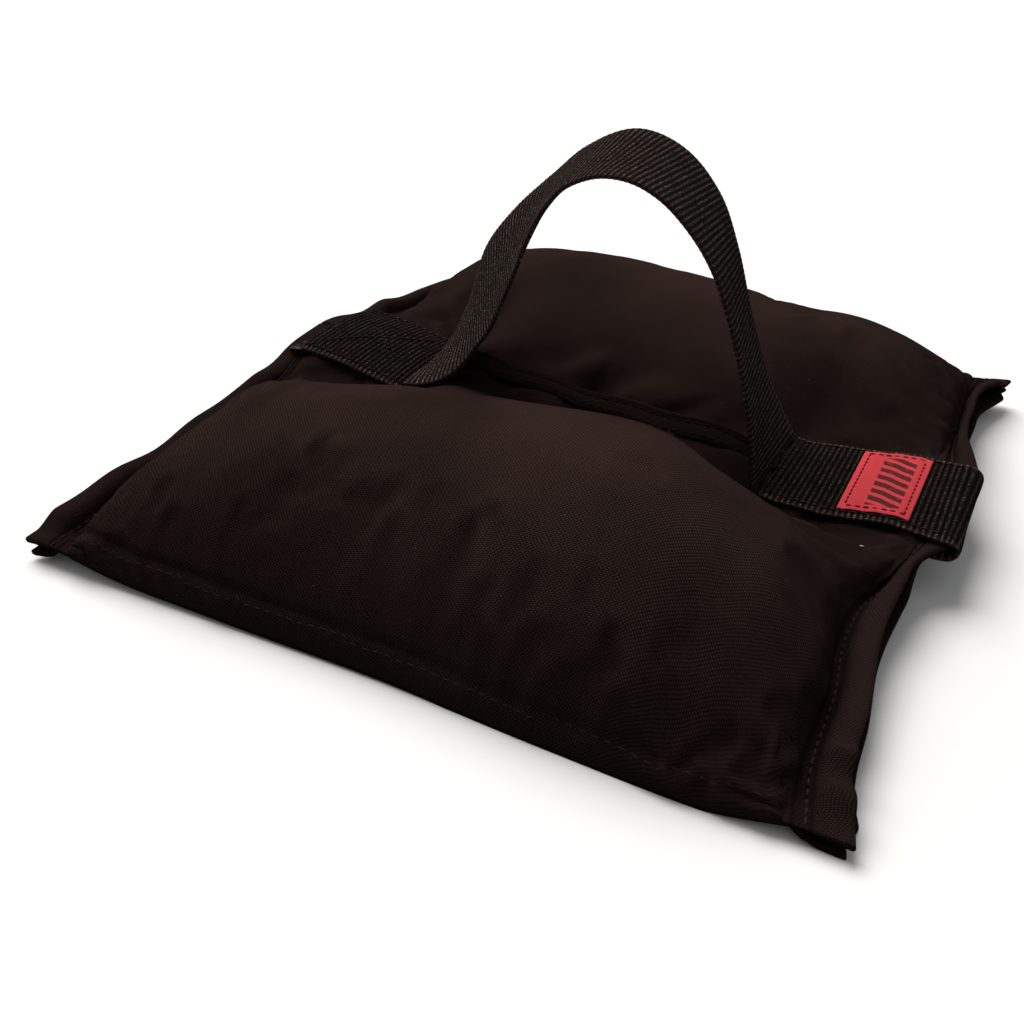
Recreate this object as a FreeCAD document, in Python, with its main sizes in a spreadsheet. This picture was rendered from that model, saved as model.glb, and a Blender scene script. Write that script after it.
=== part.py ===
"""Saddle sandbag: two sand-filled pouches on a centre strip, with a webbing strap that makes the handle.

Frame: X runs along the centre seam, +Y points to the back pouch, +Z is up.
The origin is on the floor, under the middle of the bag.
"""
import FreeCAD, Part
import math
import os
import Sketcher

SIZES = {
    # the bag lying open on the floor
    "bag_length": 250,         # along the seam, over both side flanges
    "bag_depth": 300,          # across both pouches, over both hems
    "bag_height": 120,         # floor to the top of the handle
    "seam_height": 24,         # floor to the plane where the two layers of the centre strip meet
    "edge_height": 2.4,        # floor to the same plane at the long outer edges
    "fold_margin": 2,          # edge of the strap to the fold line
    "fold_clearance": 1.6,     # fold line to the edge of the strip, and to the edge of the pouch
    # a pouch, in the sloping plane of its own seam
    "cover": 1.2,              # woven nylon, doubled at the edges
    "flange_width": 12,        # side flange, outside the filled part
    "hem_width": 10,           # hem along the long outer edge
    "inner_margin": 8,         # fold line to the filled part beside the strap
    "inner_margin_mid": 4,     # the same at the middle of the bag
    "pouch_rise": 37,          # crest above the seam plane
    "pouch_sag": 26,           # belly below it, before the floor flattens it
    "crest_place": 52,         # fold line to the crest
    "flank_share": 0.9,        # crest at the flank, as a share of the middle
    "shoulder_share": 0.6,     # crest at the shoulder
    "flank_back": 45,          # end of the filled part to the flank
    "shoulder_back": 14,       # end of the filled part to the shoulder
    "end_rise": 2,             # the filled part at its very end
    # inside
    "liner_gap": 0.6,          # cover to liner
    "liner_film": 0.8,         # vinyl film of the sealed inner bag
    "sand_gap": 0.4,           # liner to sand
    # webbing
    "strap_width": 50,
    "strap_thick": 2,
    "left_foot": 71,           # middle of the bag to the left foot of the handle
    "right_foot": 64,          # and to the right foot
    "arch_radius": 40,         # top of the handle, outside
    "swing_margin": 4.5,       # edge of the strap to the drum that the handle swings round
    "swing_gap": 0.4,
    # seam, label and thread
    "lap_width": 9,
    "lap_height": 1.4,
    "lap_clearance": 3,        # lap seam to the feet of the strap
    "thread_width": 0.9,
    "thread_height": 0.4,
    "stitch_length": 4,
    "stitch_pitch": 6,
    "stitch_inset": 2,         # rows of stitches to the edge that they follow
    "tack_row": 3,             # foot of the handle to the bar tack, and between its two rows
    "label_margin": 3,         # edge of the strap to the label's ends
    "label_width": 22,
    "label_thick": 0.6,
    "label_inset": 4,          # closing stitches to the label
    "label_border": 2,         # edge of the label to its stitches
}

DOC = FreeCAD.newDocument("sandbag")
SHEET = DOC.addObject("Spreadsheet::Sheet", "Sizes")
for row, (alias, number) in enumerate(SIZES.items(), start=1):
    SHEET.set(f"A{row}", alias)
    SHEET.set(f"B{row}", str(number))
    SHEET.setAlias(f"B{row}", alias)
DOC.recompute()

NODES = []

# Derived places, as expressions of the sheet.
HALF_LENGTH = "Sizes.bag_length / 2"
FOLD_LINE = "(Sizes.strap_width / 2 + Sizes.fold_margin)"
POUCH_RUN = f"(Sizes.bag_depth / 2 - {FOLD_LINE})"
POUCH_DROP = "(Sizes.seam_height - Sizes.edge_height)"
TILT = f"atan({POUCH_DROP} / {POUCH_RUN})"
POUCH_WIDTH = f"sqrt({POUCH_RUN} ^ 2 + {POUCH_DROP} ^ 2)"
FILL_END = f"({HALF_LENGTH} - Sizes.flange_width)"
FILL_OUTER = f"({POUCH_WIDTH} - Sizes.hem_width)"
STRIP_HALF = f"({FOLD_LINE} - Sizes.fold_clearance)"
STRIP_TOP = "(Sizes.seam_height + Sizes.cover)"
STRIP_BOTTOM = "(Sizes.seam_height - Sizes.cover)"
STRIP_END = f"({HALF_LENGTH} - Sizes.cover - Sizes.strap_thick)"
STRAP_TOP = f"({STRIP_TOP} + Sizes.strap_thick)"
STRAP_BOTTOM = f"({STRIP_BOTTOM} - Sizes.strap_thick)"
SWING_RADIUS = "(Sizes.strap_width / 2 + Sizes.swing_margin)"
ARCH_X = "(Sizes.right_foot - Sizes.left_foot) / 2"
ARCH_Z = "(Sizes.bag_height - Sizes.arch_radius)"
CLOSING_ROW = f"({FILL_END} + Sizes.stitch_inset)"
LINER_INSET = "(Sizes.cover + Sizes.liner_gap)"
FILM_INSET = f"({LINER_INSET} + Sizes.liner_film)"
SAND_INSET = f"({FILM_INSET} + Sizes.sand_gap)"
WALL_SLOPE = 1.5               # the covers' walls lean, so an inset grows this much sideways


def value(expression):
    """The number that an expression of the sheet has now."""
    result = SHEET.evalExpression(expression)
    return float(getattr(result, "Value", result))


def node(obj, name):
    """Name a finished sub-part and list it for export."""
    obj.Label = name
    NODES.append(obj)
    return obj


def plane(body, role):
    """One of a body's own origin planes or axes."""
    return next(item for item in body.Origin.OriginFeatures if item.Role == role)


def sketch_on(body, role, offset="0"):
    """An empty sketch on one of the body's origin planes, moved along its normal."""
    sketch = body.newObject("Sketcher::SketchObject", "Sketch")
    sketch.AttachmentSupport = [(plane(body, role), "")]
    sketch.MapMode = "FlatFace"
    sketch.setExpression("AttachmentOffset.Base.z", offset)
    return sketch


def bind(sketch, kind, places, expression):
    """Add a dimension to a sketch and bind it to an expression."""
    index = sketch.addConstraint(Sketcher.Constraint(kind, *places, abs(value(expression)) or 1.0))
    sketch.setExpression(f"Constraints[{index}]", expression)


def place_point(sketch, geometry, end, across, up):
    """Hold a point of a sketch at two signed expressions, measured from the sketch's origin."""
    for kind, expression in (("DistanceX", across), ("DistanceY", up)):
        if abs(value(expression)) < 1e-9:
            axis = -2 if kind == "DistanceX" else -1
            sketch.addConstraint(Sketcher.Constraint("PointOnObject", geometry, end, axis))
        elif value(expression) > 0:
            bind(sketch, kind, (-1, 1, geometry, end), expression)
        else:
            bind(sketch, kind, (geometry, end, -1, 1), f"-({expression})")


def polygon(sketch, corners):
    """A closed outline of straight lines; each corner is a pair of expressions."""
    points = [FreeCAD.Vector(value(across), value(up), 0) for across, up in corners]
    first = sketch.GeometryCount
    for index, point in enumerate(points):
        sketch.addGeometry(Part.LineSegment(point, points[(index + 1) % len(points)]))
    for index, (across, up) in enumerate(corners):
        before = first + (index - 1) % len(corners)
        sketch.addConstraint(Sketcher.Constraint("Coincident", before, 2, first + index, 1))
        place_point(sketch, first + index, 1, across, up)


def rectangle(sketch, low_across, high_across, low_up, high_up):
    """A closed rectangle between four expressions."""
    polygon(sketch, [(low_across, low_up), (high_across, low_up),
                     (high_across, high_up), (low_across, high_up)])


def crest_arcs(sketch, ends, crest, height):
    """Two arcs that meet level at a crest; ends run anticlockwise round the outline."""
    first = sketch.GeometryCount
    top = FreeCAD.Vector(value(crest), value(height), 0)
    for index, end in enumerate(ends):
        foot = FreeCAD.Vector(value(end), 0, 0)
        reach = abs(foot.x - top.x)
        radius = (reach ** 2 + top.y ** 2) / (2 * abs(top.y))
        centre_y = top.y - radius if top.y > 0 else top.y + radius
        halfway = top + (foot - top) * 0.5
        out = (halfway - FreeCAD.Vector(top.x, centre_y, 0)).normalize()
        bulge = FreeCAD.Vector(top.x, centre_y, 0) + out * radius
        start, stop = (foot, top) if index == 0 else (top, foot)
        sketch.addGeometry(Part.Arc(start, bulge, stop))
    # Part.Arc keeps the direction start, bulge, stop, which is anticlockwise here
    sketch.addConstraint(Sketcher.Constraint("Coincident", first, 2, first + 1, 1))
    place_point(sketch, first, 2, crest, height)
    place_point(sketch, first, 1, ends[0], "0")
    place_point(sketch, first + 1, 2, ends[1], "0")
    for arc in (first, first + 1):
        sketch.addConstraint(Sketcher.Constraint("Vertical", arc, 3, first, 2))


def lens_section(body, station, rise, sag, inner, outer):
    """A cross-section of a filled pouch: an upper bow, a lower bow, or both."""
    sketch = sketch_on(body, "YZ_Plane", station)
    if rise:
        crest_arcs(sketch, (outer, inner), "Sizes.crest_place", rise)
    if sag:
        crest_arcs(sketch, (inner, outer), "Sizes.crest_place", f"-({sag})")
    if not (rise and sag):
        chord = (inner, outer) if rise else (outer, inner)
        line = sketch.addGeometry(Part.LineSegment(*(FreeCAD.Vector(value(end), 0, 0) for end in chord)))
        sketch.addConstraint(Sketcher.Constraint("Coincident", line - 1, 2, line, 1))
        sketch.addConstraint(Sketcher.Constraint("Coincident", line, 2, line - 2, 1))
    return sketch


def fill_loft(body, inset, upper=True, lower=True):
    """Loft the filled pouch through seven sections, everything drawn in by the inset."""
    side = f"{inset} * {WALL_SLOPE}"
    end = f"({FILL_END} - 2 * {side})"
    outer = f"{FILL_OUTER} - {side}"
    beside = f"Sizes.inner_margin + {side}"
    shoulder = f"({end} - Sizes.shoulder_back)"
    flank = f"({end} - Sizes.flank_back)"
    profiles = [
        (f"-{end}", None, beside),
        (f"-{shoulder}", "Sizes.shoulder_share", beside),
        (f"-{flank}", "Sizes.flank_share", beside),
        ("0", "1", f"Sizes.inner_margin_mid + {side}"),
        (flank, "Sizes.flank_share", beside),
        (shoulder, "Sizes.shoulder_share", beside),
        (end, None, beside),
    ]
    sections = []
    for station, share, inner in profiles:
        rise = f"Sizes.pouch_rise * {share} - {inset}" if share else "Sizes.end_rise / 2"
        sag = f"Sizes.pouch_sag * {share} - {inset}" if share else "Sizes.end_rise / 2"
        sections.append(lens_section(body, station, rise if upper else None,
                                     sag if lower else None, inner, outer))
    loft = body.newObject("PartDesign::AdditiveLoft", "Fill")
    loft.Profile = sections[0]
    loft.Sections = [(section, [""]) for section in sections[1:]]
    return loft


def lay_in_pouch_plane(obj):
    """Put an object that was drawn flat into the sloping seam plane of the back pouch."""
    slope = FreeCAD.Rotation(FreeCAD.Vector(-1, 0, 0), value(TILT))
    obj.Placement = FreeCAD.Placement(FreeCAD.Vector(0, 1, 1), slope)
    obj.setExpression("Placement.Base.y", FOLD_LINE)
    obj.setExpression("Placement.Base.z", "Sizes.seam_height")
    obj.setExpression("Placement.Rotation.Angle", TILT)


def pouch_body(name):
    body = DOC.addObject("PartDesign::Body", name)
    lay_in_pouch_plane(body)
    return body


def floor_slab(height):
    """Everything below a level floor at this height, as a tool to cut with."""
    slab = DOC.addObject("Part::Box", "Floor")
    slab.setExpression("Length", "Sizes.bag_length * 2")
    slab.setExpression("Width", "Sizes.bag_depth * 2")
    slab.setExpression("Height", "Sizes.bag_height")
    slab.setExpression("Placement.Base.x", "-Sizes.bag_length")
    slab.setExpression("Placement.Base.y", "-Sizes.bag_depth")
    slab.setExpression("Placement.Base.z", f"{height} - Sizes.bag_height")
    return slab


def cut(base, tool, name="Cut"):
    result = DOC.addObject("Part::Cut", name)
    result.Base = base
    result.Tool = tool
    return result


def panel_blank(name, upper):
    """Flat flange all round and the bowed part of one layer, still solid."""
    body = pouch_body(name)
    sketch = sketch_on(body, "XY_Plane")
    rectangle(sketch, f"-{HALF_LENGTH}", HALF_LENGTH, "Sizes.fold_clearance", POUCH_WIDTH)
    flange = body.newObject("PartDesign::Pad", "Flange")
    flange.Profile = sketch
    flange.setExpression("Length", "Sizes.cover")
    flange.Reversed = not upper
    fill_loft(body, "0", upper=upper, lower=not upper)
    return body


def filled_space(name, inset):
    """The room inside a pouch, drawn in by the inset and flat on the floor."""
    body = pouch_body(name)
    fill_loft(body, inset)
    return cut(body, floor_slab(inset))


def mirror_to_front(back, name):
    """The front pouch's piece: the back one reflected in the plane of the centre seam."""
    front = DOC.addObject("Part::Mirroring", name)
    front.Source = back
    front.Normal = FreeCAD.Vector(0, 1, 0)
    return node(front, name)


def stitch_row(body, first_stitch, direction, run):
    """A row of stitches: one is padded, then repeated along an axis of its sketch."""
    sketch, stitch = first_stitch
    row = body.newObject("PartDesign::LinearPattern", "Row")
    row.Originals = [stitch]
    row.Direction = (sketch, [direction])
    row.setExpression("Occurrences", f"floor(({run}) / Sizes.stitch_pitch)")
    row.setExpression("Length", f"(floor(({run}) / Sizes.stitch_pitch) - 1) * Sizes.stitch_pitch")
    body.Tip = row
    return row


def padded_stitch(body, level, rectangles):
    """The first stitch of one or more rows, lying on a face at this level."""
    sketch = sketch_on(body, "XY_Plane", level)
    for edges in rectangles:
        rectangle(sketch, *edges)
    stitch = body.newObject("PartDesign::Pad", "Stitch")
    stitch.Profile = sketch
    stitch.setExpression("Length", "Sizes.thread_height")
    return sketch, stitch


def across_row(place, start):
    """One stitch along Y: its four edges, beside a line at X = place."""
    return (f"{place} - Sizes.thread_width / 2", f"{place} + Sizes.thread_width / 2",
            start, f"{start} + Sizes.stitch_length")


def along_row(place, start):
    """One stitch along X: its four edges, beside a line at Y = place."""
    return (start, f"{start} + Sizes.stitch_length",
            f"{place} - Sizes.thread_width / 2", f"{place} + Sizes.thread_width / 2")


def make_pouches():
    """Both pouches: two panels, a liner, the sand and two kinds of stitch rows each."""
    cavity = filled_space("Cavity", "Sizes.cover")
    top = node(cut(panel_blank("TopBlank", True), cavity), "back_top_panel")
    belly = cut(panel_blank("BottomBlank", False), floor_slab("0"))
    bottom = node(cut(belly, cavity), "back_bottom_panel")
    liner_room = filled_space("LinerRoom", FILM_INSET)
    liner = node(cut(filled_space("LinerSkin", LINER_INSET), liner_room), "back_liner")
    sand = node(filled_space("Sand", SAND_INSET), "back_sand")

    sides = pouch_body("SideStitches")
    start = "Sizes.fold_clearance + Sizes.stitch_inset"
    run = f"{POUCH_WIDTH} - 2 * Sizes.stitch_inset - Sizes.fold_clearance"
    rows = [across_row(CLOSING_ROW, start), across_row(f"-{CLOSING_ROW}", start)]
    stitch_row(sides, padded_stitch(sides, "Sizes.cover", rows), "V_Axis", run)
    side_rows = node(sides, "back_side_stitching")

    hem = pouch_body("HemStitches")
    run = f"2 * ({FILL_END} - Sizes.stitch_inset)"
    start = f"-({FILL_END} - Sizes.stitch_inset)"
    rows = [along_row(f"({FILL_OUTER} + Sizes.stitch_inset)", start)]
    stitch_row(hem, padded_stitch(hem, "Sizes.cover", rows), "H_Axis", run)
    hem_row = node(hem, "back_hem_stitching")

    for back in (top, bottom, liner, sand, side_rows, hem_row):
        mirror_to_front(back, back.Label.replace("back_", "front_"))


def slab_body(name, level, thick, edges):
    """A flat piece: a rectangle at this level, padded upwards."""
    body = DOC.addObject("PartDesign::Body", name)
    sketch = sketch_on(body, "XY_Plane", level)
    rectangle(sketch, *edges)
    pad = body.newObject("PartDesign::Pad", "Pad")
    pad.Profile = sketch
    pad.setExpression("Length", thick)
    return node(body, name)


def make_centre_strip():
    """The two layers between the pouches, the lapped seam on top and its two rows of stitches."""
    whole = (f"-{STRIP_END}", STRIP_END, f"-{STRIP_HALF}", STRIP_HALF)
    slab_body("centre_top_strip", "Sizes.seam_height", "Sizes.cover", whole)
    slab_body("centre_bottom_strip", STRIP_BOTTOM, "Sizes.cover", whole)
    lap_left = "-(Sizes.left_foot - Sizes.lap_clearance)"
    lap_right = "(Sizes.right_foot - Sizes.lap_clearance)"
    slab_body("centre_lap_seam", STRIP_TOP, "Sizes.lap_height",
              (lap_left, lap_right, "-Sizes.lap_width / 2", "Sizes.lap_width / 2"))
    rows = DOC.addObject("PartDesign::Body", "centre_seam_stitching")
    row_place = "(Sizes.lap_width / 2 - Sizes.stitch_inset)"
    start = f"{lap_left} + Sizes.stitch_inset"
    run = f"{lap_right} - ({lap_left}) - 2 * Sizes.stitch_inset"
    level = f"{STRIP_TOP} + Sizes.lap_height"
    first = padded_stitch(rows, level, [along_row(row_place, start), along_row(f"-{row_place}", start)])
    stitch_row(rows, first, "H_Axis", run)
    node(rows, "centre_seam_stitching")


def mirror_to_left(right, name):
    """A piece reflected in the middle plane across the bag."""
    left = DOC.addObject("Part::Mirroring", name)
    left.Source = right
    left.Normal = FreeCAD.Vector(1, 0, 0)
    return node(left, name)


def pad_both_ways(body, sketch, width):
    """Pad a profile evenly to both sides of its plane."""
    pad = body.newObject("PartDesign::Pad", "Pad")
    pad.Profile = sketch
    pad.Midplane = True
    pad.setExpression("Length", width)
    return pad


def chain(sketch, edges):
    """Add edges that follow each other round an outline and give their numbers."""
    first = sketch.GeometryCount
    for edge in edges:
        sketch.addGeometry(edge)
    return list(range(first, first + len(edges)))


def make_anchor(name, foot):
    """Flat end of the strap: on top from the foot outwards, over the edge and back underneath."""
    body = DOC.addObject("PartDesign::Body", name)
    sketch = sketch_on(body, "XZ_Plane")
    levels = (STRAP_TOP, STRIP_TOP, STRIP_BOTTOM, STRAP_BOTTOM)
    top, skin_top, skin_bottom, bottom = (value(level) for level in levels)
    near, turn, mid = value(foot), value(STRIP_END), value("Sizes.seam_height")
    corners = [FreeCAD.Vector(near, top, 0), FreeCAD.Vector(turn, top, 0),
               FreeCAD.Vector(turn, bottom, 0), FreeCAD.Vector(near, bottom, 0),
               FreeCAD.Vector(near, skin_bottom, 0), FreeCAD.Vector(turn, skin_bottom, 0),
               FreeCAD.Vector(turn, skin_top, 0), FreeCAD.Vector(near, skin_top, 0)]
    outside = Part.Arc(corners[1], FreeCAD.Vector(turn + top - mid, mid, 0), corners[2])
    inside = Part.Arc(corners[5], FreeCAD.Vector(turn + skin_top - mid, mid, 0), corners[6])
    upper, outer_arc, lower, tail, inner_low, inner_arc, inner_top, end = chain(sketch, [
        Part.LineSegment(corners[0], corners[1]), outside, Part.LineSegment(corners[2], corners[3]),
        Part.LineSegment(corners[3], corners[4]), Part.LineSegment(corners[4], corners[5]), inside,
        Part.LineSegment(corners[6], corners[7]), Part.LineSegment(corners[7], corners[0])])
    # a sketch keeps every arc anticlockwise, so the outer one runs from its lower end to its upper one
    joins = [(upper, 2, outer_arc, 2), (outer_arc, 1, lower, 1), (lower, 2, tail, 1), (tail, 2, inner_low, 1),
             (inner_low, 2, inner_arc, 1), (inner_arc, 2, inner_top, 1), (inner_top, 2, end, 1),
             (end, 2, upper, 1)]
    for join in joins:
        sketch.addConstraint(Sketcher.Constraint("Coincident", *join))
    for arc in (outer_arc, inner_arc):
        place_point(sketch, arc, 3, STRIP_END, "Sizes.seam_height")
    place_point(sketch, upper, 1, foot, STRAP_TOP)
    place_point(sketch, end, 1, foot, STRIP_TOP)
    for line in (upper, lower, inner_low, inner_top):
        sketch.addConstraint(Sketcher.Constraint("Horizontal", line))
    sketch.addConstraint(Sketcher.Constraint("Vertical", tail))
    sketch.addConstraint(Sketcher.Constraint("Vertical", upper, 1, lower, 2))
    for arc, end_of_arc in ((outer_arc, 1), (outer_arc, 2), (inner_arc, 1), (inner_arc, 2)):
        sketch.addConstraint(Sketcher.Constraint("Vertical", arc, 3, arc, end_of_arc))
    pad_both_ways(body, sketch, "Sizes.strap_width")
    return body


def leg_tangent(foot, centre, radius, side):
    """Where a leg of the handle, drawn from its foot, touches the round top."""
    from_centre = foot - centre
    opening = math.acos(radius / from_centre.Length)
    angle = math.atan2(from_centre.y, from_centre.x) + side * opening
    return centre + FreeCAD.Vector(math.cos(angle), math.sin(angle), 0) * radius


def make_loop():
    """The handle's webbing seen from the front: two straight legs that run into a round top."""
    body = DOC.addObject("PartDesign::Body", "Loop")
    sketch = sketch_on(body, "XZ_Plane")
    radius, thick, level = value("Sizes.arch_radius"), value("Sizes.strap_thick"), value(STRIP_TOP)
    centre = FreeCAD.Vector(value(ARCH_X), value(ARCH_Z), 0)
    edges, ends = [], []
    for reach, foot_shift in ((radius, 0), (radius - thick, thick)):
        left = FreeCAD.Vector(-value("Sizes.left_foot") + foot_shift, level, 0)
        right = FreeCAD.Vector(value("Sizes.right_foot") - foot_shift, level, 0)
        left_top = leg_tangent(left, centre, reach, -1)
        right_top = leg_tangent(right, centre, reach, 1)
        crown = centre + FreeCAD.Vector(0, reach, 0)
        edges += [Part.LineSegment(right, right_top), Part.Arc(right_top, crown, left_top),
                  Part.LineSegment(left_top, left)]
        ends.append((left, right))
    (left_out, right_out), (left_in, right_in) = ends
    edges += [Part.LineSegment(left_out, left_in), Part.LineSegment(right_in, right_out)]
    right_leg, crown_arc, left_leg, right_inner, inner_arc, left_inner, left_base, right_base = chain(
        sketch, edges)
    tangents = [(right_leg, 2, crown_arc, 1), (crown_arc, 2, left_leg, 1),
                (right_inner, 2, inner_arc, 1), (inner_arc, 2, left_inner, 1)]
    for join in tangents:
        sketch.addConstraint(Sketcher.Constraint("Tangent", *join))
    corners = [(left_leg, 2, left_base, 1), (left_base, 2, left_inner, 2),
               (right_inner, 1, right_base, 1), (right_base, 2, right_leg, 1)]
    for join in corners:
        sketch.addConstraint(Sketcher.Constraint("Coincident", *join))
    for arc, reach in ((crown_arc, "Sizes.arch_radius"), (inner_arc, "Sizes.arch_radius - Sizes.strap_thick")):
        place_point(sketch, arc, 3, ARCH_X, ARCH_Z)
        bind(sketch, "Radius", (arc,), reach)
    place_point(sketch, left_leg, 2, "-Sizes.left_foot", STRIP_TOP)
    place_point(sketch, right_leg, 1, "Sizes.right_foot", STRIP_TOP)
    for outer_leg, inner_leg in ((left_leg, left_inner), (right_leg, right_inner)):
        sketch.addConstraint(Sketcher.Constraint("Parallel", outer_leg, inner_leg))
    for base in (left_base, right_base):
        sketch.addConstraint(Sketcher.Constraint("Horizontal", base))
    pad_both_ways(body, sketch, "Sizes.strap_width")
    return body


def swing_drum(radius):
    """A drum along the handle's swing axis, as a tool to cut with."""
    drum = DOC.addObject("Part::Cylinder", "Drum")
    drum.setExpression("Radius", radius)
    drum.setExpression("Height", "Sizes.bag_length * 2")
    drum.Placement = FreeCAD.Placement(FreeCAD.Vector(), FreeCAD.Rotation(FreeCAD.Vector(0, 1, 0), 90))
    drum.setExpression("Placement.Base.x", "-Sizes.bag_length")
    drum.setExpression("Placement.Base.z", STRAP_TOP)
    return drum


def make_strap():
    """One run of webbing in five pieces: two flat ends, the run underneath, the standing feet, the handle."""
    node(make_anchor("strap_right_anchor", "Sizes.right_foot"), "strap_right_anchor")
    mirror_to_left(make_anchor("LeftAnchor", "Sizes.left_foot"), "strap_left_anchor")
    half = "Sizes.strap_width / 2"
    slab_body("strap_underside", STRAP_BOTTOM, "Sizes.strap_thick",
              ("-Sizes.left_foot", "Sizes.right_foot", f"-{half}", half))
    loop = make_loop()
    node(cut(loop, swing_drum(f"{SWING_RADIUS} + Sizes.swing_gap")), "handle_webbing")
    feet = DOC.addObject("Part::Common", "handle_feet")
    feet.Base = loop
    feet.Tool = swing_drum(SWING_RADIUS)
    node(feet, "handle_feet")


def crossed_rows(name, level, rows_along, run_along, rows_across, run_across):
    """Rows of stitches both ways on one face; each run is the length that its rows fill."""
    body = DOC.addObject("PartDesign::Body", name)
    stitch_row(body, padded_stitch(body, level, rows_along), "H_Axis", run_along)
    stitch_row(body, padded_stitch(body, level, rows_across), "V_Axis", run_across)
    return body


def anchor_rows(name, foot, cross_places):
    """Stitches that hold a flat end of the strap: along both edges, at the foot and at the closing seam."""
    edge = "(Sizes.strap_width / 2 - Sizes.stitch_inset)"
    start = f"{foot} + 2 * Sizes.tack_row + Sizes.stitch_inset"
    run = f"{CLOSING_ROW} - Sizes.stitch_inset - ({start})"
    along = [along_row(edge, start), along_row(f"-{edge}", start)]
    across = [across_row(f"({place})", f"-{edge}") for place in cross_places]
    return crossed_rows(name, STRAP_TOP, along, run, across, f"2 * {edge} + Sizes.stitch_inset")


def make_anchor_stitching():
    for name, foot in (("right_anchor_stitching", "Sizes.right_foot"), ("LeftRows", "Sizes.left_foot")):
        tacks = [f"{foot} + Sizes.tack_row", f"{foot} + 2 * Sizes.tack_row"]
        rows = anchor_rows(name, foot, [*tacks, CLOSING_ROW])
        if foot == "Sizes.right_foot":
            node(rows, name)
        else:
            mirror_to_left(rows, "left_anchor_stitching")


def make_label():
    """A plain woven label on the right end of the strap, sewn down along its four sides."""
    high_x = f"({CLOSING_ROW} - Sizes.label_inset)"
    low_x = f"({high_x} - Sizes.label_width)"
    half = "(Sizes.strap_width / 2 - Sizes.label_margin)"
    slab_body("label", STRAP_TOP, "Sizes.label_thick", (low_x, high_x, f"-{half}", half))
    border = "Sizes.label_border"
    long_run = f"2 * ({half} - {border}) - Sizes.thread_width"
    short_run = f"Sizes.label_width - 2 * {border} - Sizes.thread_width"
    row_low = f"({low_x} + {border})"
    row_high = f"({high_x} - {border})"
    side = f"({half} - {border})"
    along = [along_row(place, f"{row_low} + Sizes.thread_width") for place in (side, f"-{side}")]
    across = [across_row(place, f"-{side} + Sizes.thread_width") for place in (row_low, row_high)]
    node(crossed_rows("label_stitching", f"{STRAP_TOP} + Sizes.label_thick", along, short_run,
                      across, long_run), "label_stitching")


def check_all():
    """Stop if any object of the document failed or any sub-part is empty or broken."""
    failed = [obj.Name for obj in DOC.Objects if {"Invalid", "Error"} & set(obj.State)]
    if failed:
        raise RuntimeError(f"these objects failed to recompute: {failed}")
    for obj in NODES:
        if obj.Shape.isNull() or not obj.Shape.isValid() or not obj.Shape.Solids:
            raise RuntimeError(f"{obj.Label} has no valid solid")


make_pouches()
make_centre_strip()
make_strap()
make_anchor_stitching()
make_label()
DOC.recompute()
check_all()
os.makedirs("parts", exist_ok=True)
for obj in NODES:
    obj.Shape.exportStep(f"parts/{obj.Label}.step")
    box = obj.Shape.optimalBoundingBox()
    print(f"{obj.Label}: {len(obj.Shape.Solids)} solid(s), {obj.Shape.Volume / 1000:.1f} cm3, "
          f"X {box.XMin:.1f}..{box.XMax:.1f} Y {box.YMin:.1f}..{box.YMax:.1f} Z {box.ZMin:.1f}..{box.ZMax:.1f}")
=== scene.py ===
"""Saddle sandbag: two sand-filled pouches, a lapped seam between them, and one run of webbing.

Shapes are worked out in millimetres and new_mesh() turns them to metres. X runs along the seam, +Y points
to the back pouch and +Z is up. r is the distance from the seam towards a hem, so y is side * r, with side
-1 for the front pouch and 1 for the back one.
"""
import math
from functools import lru_cache

import bmesh
import bpy
import numpy as np
from mathutils import Matrix, Vector


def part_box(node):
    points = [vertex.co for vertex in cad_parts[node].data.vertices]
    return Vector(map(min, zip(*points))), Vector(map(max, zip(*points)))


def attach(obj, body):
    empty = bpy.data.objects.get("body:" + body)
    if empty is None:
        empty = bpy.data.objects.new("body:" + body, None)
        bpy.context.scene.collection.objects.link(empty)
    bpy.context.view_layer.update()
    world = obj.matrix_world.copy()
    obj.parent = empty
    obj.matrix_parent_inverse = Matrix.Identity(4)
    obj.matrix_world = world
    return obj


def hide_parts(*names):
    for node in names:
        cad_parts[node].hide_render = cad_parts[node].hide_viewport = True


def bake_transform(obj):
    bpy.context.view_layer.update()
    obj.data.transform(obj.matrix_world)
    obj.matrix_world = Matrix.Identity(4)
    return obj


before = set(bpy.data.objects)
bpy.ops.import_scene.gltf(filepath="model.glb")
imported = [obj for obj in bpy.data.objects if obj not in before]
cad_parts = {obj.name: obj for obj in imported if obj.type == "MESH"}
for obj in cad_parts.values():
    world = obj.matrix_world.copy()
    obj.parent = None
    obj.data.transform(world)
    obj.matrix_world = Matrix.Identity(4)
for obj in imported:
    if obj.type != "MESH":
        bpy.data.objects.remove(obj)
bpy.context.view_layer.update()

bl_info = {
    "name": "Saddle sandbag",
    "version": (1, 0, 0),
    "blender": (4, 5, 0),
    "location": "3D View > Sidebar > Sandbag",
    "description": "Covers, filling, webbing, label and stitching of a two-pouch sandbag",
    "category": "Add Mesh",
}

SIDES = {"front": -1, "back": 1}


def cad(node, corner, axis):
    """One coordinate of a CAD node's box in millimetres; corner 0 is the lowest and 1 the highest."""
    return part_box(node)[corner][axis] * 1000


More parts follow.
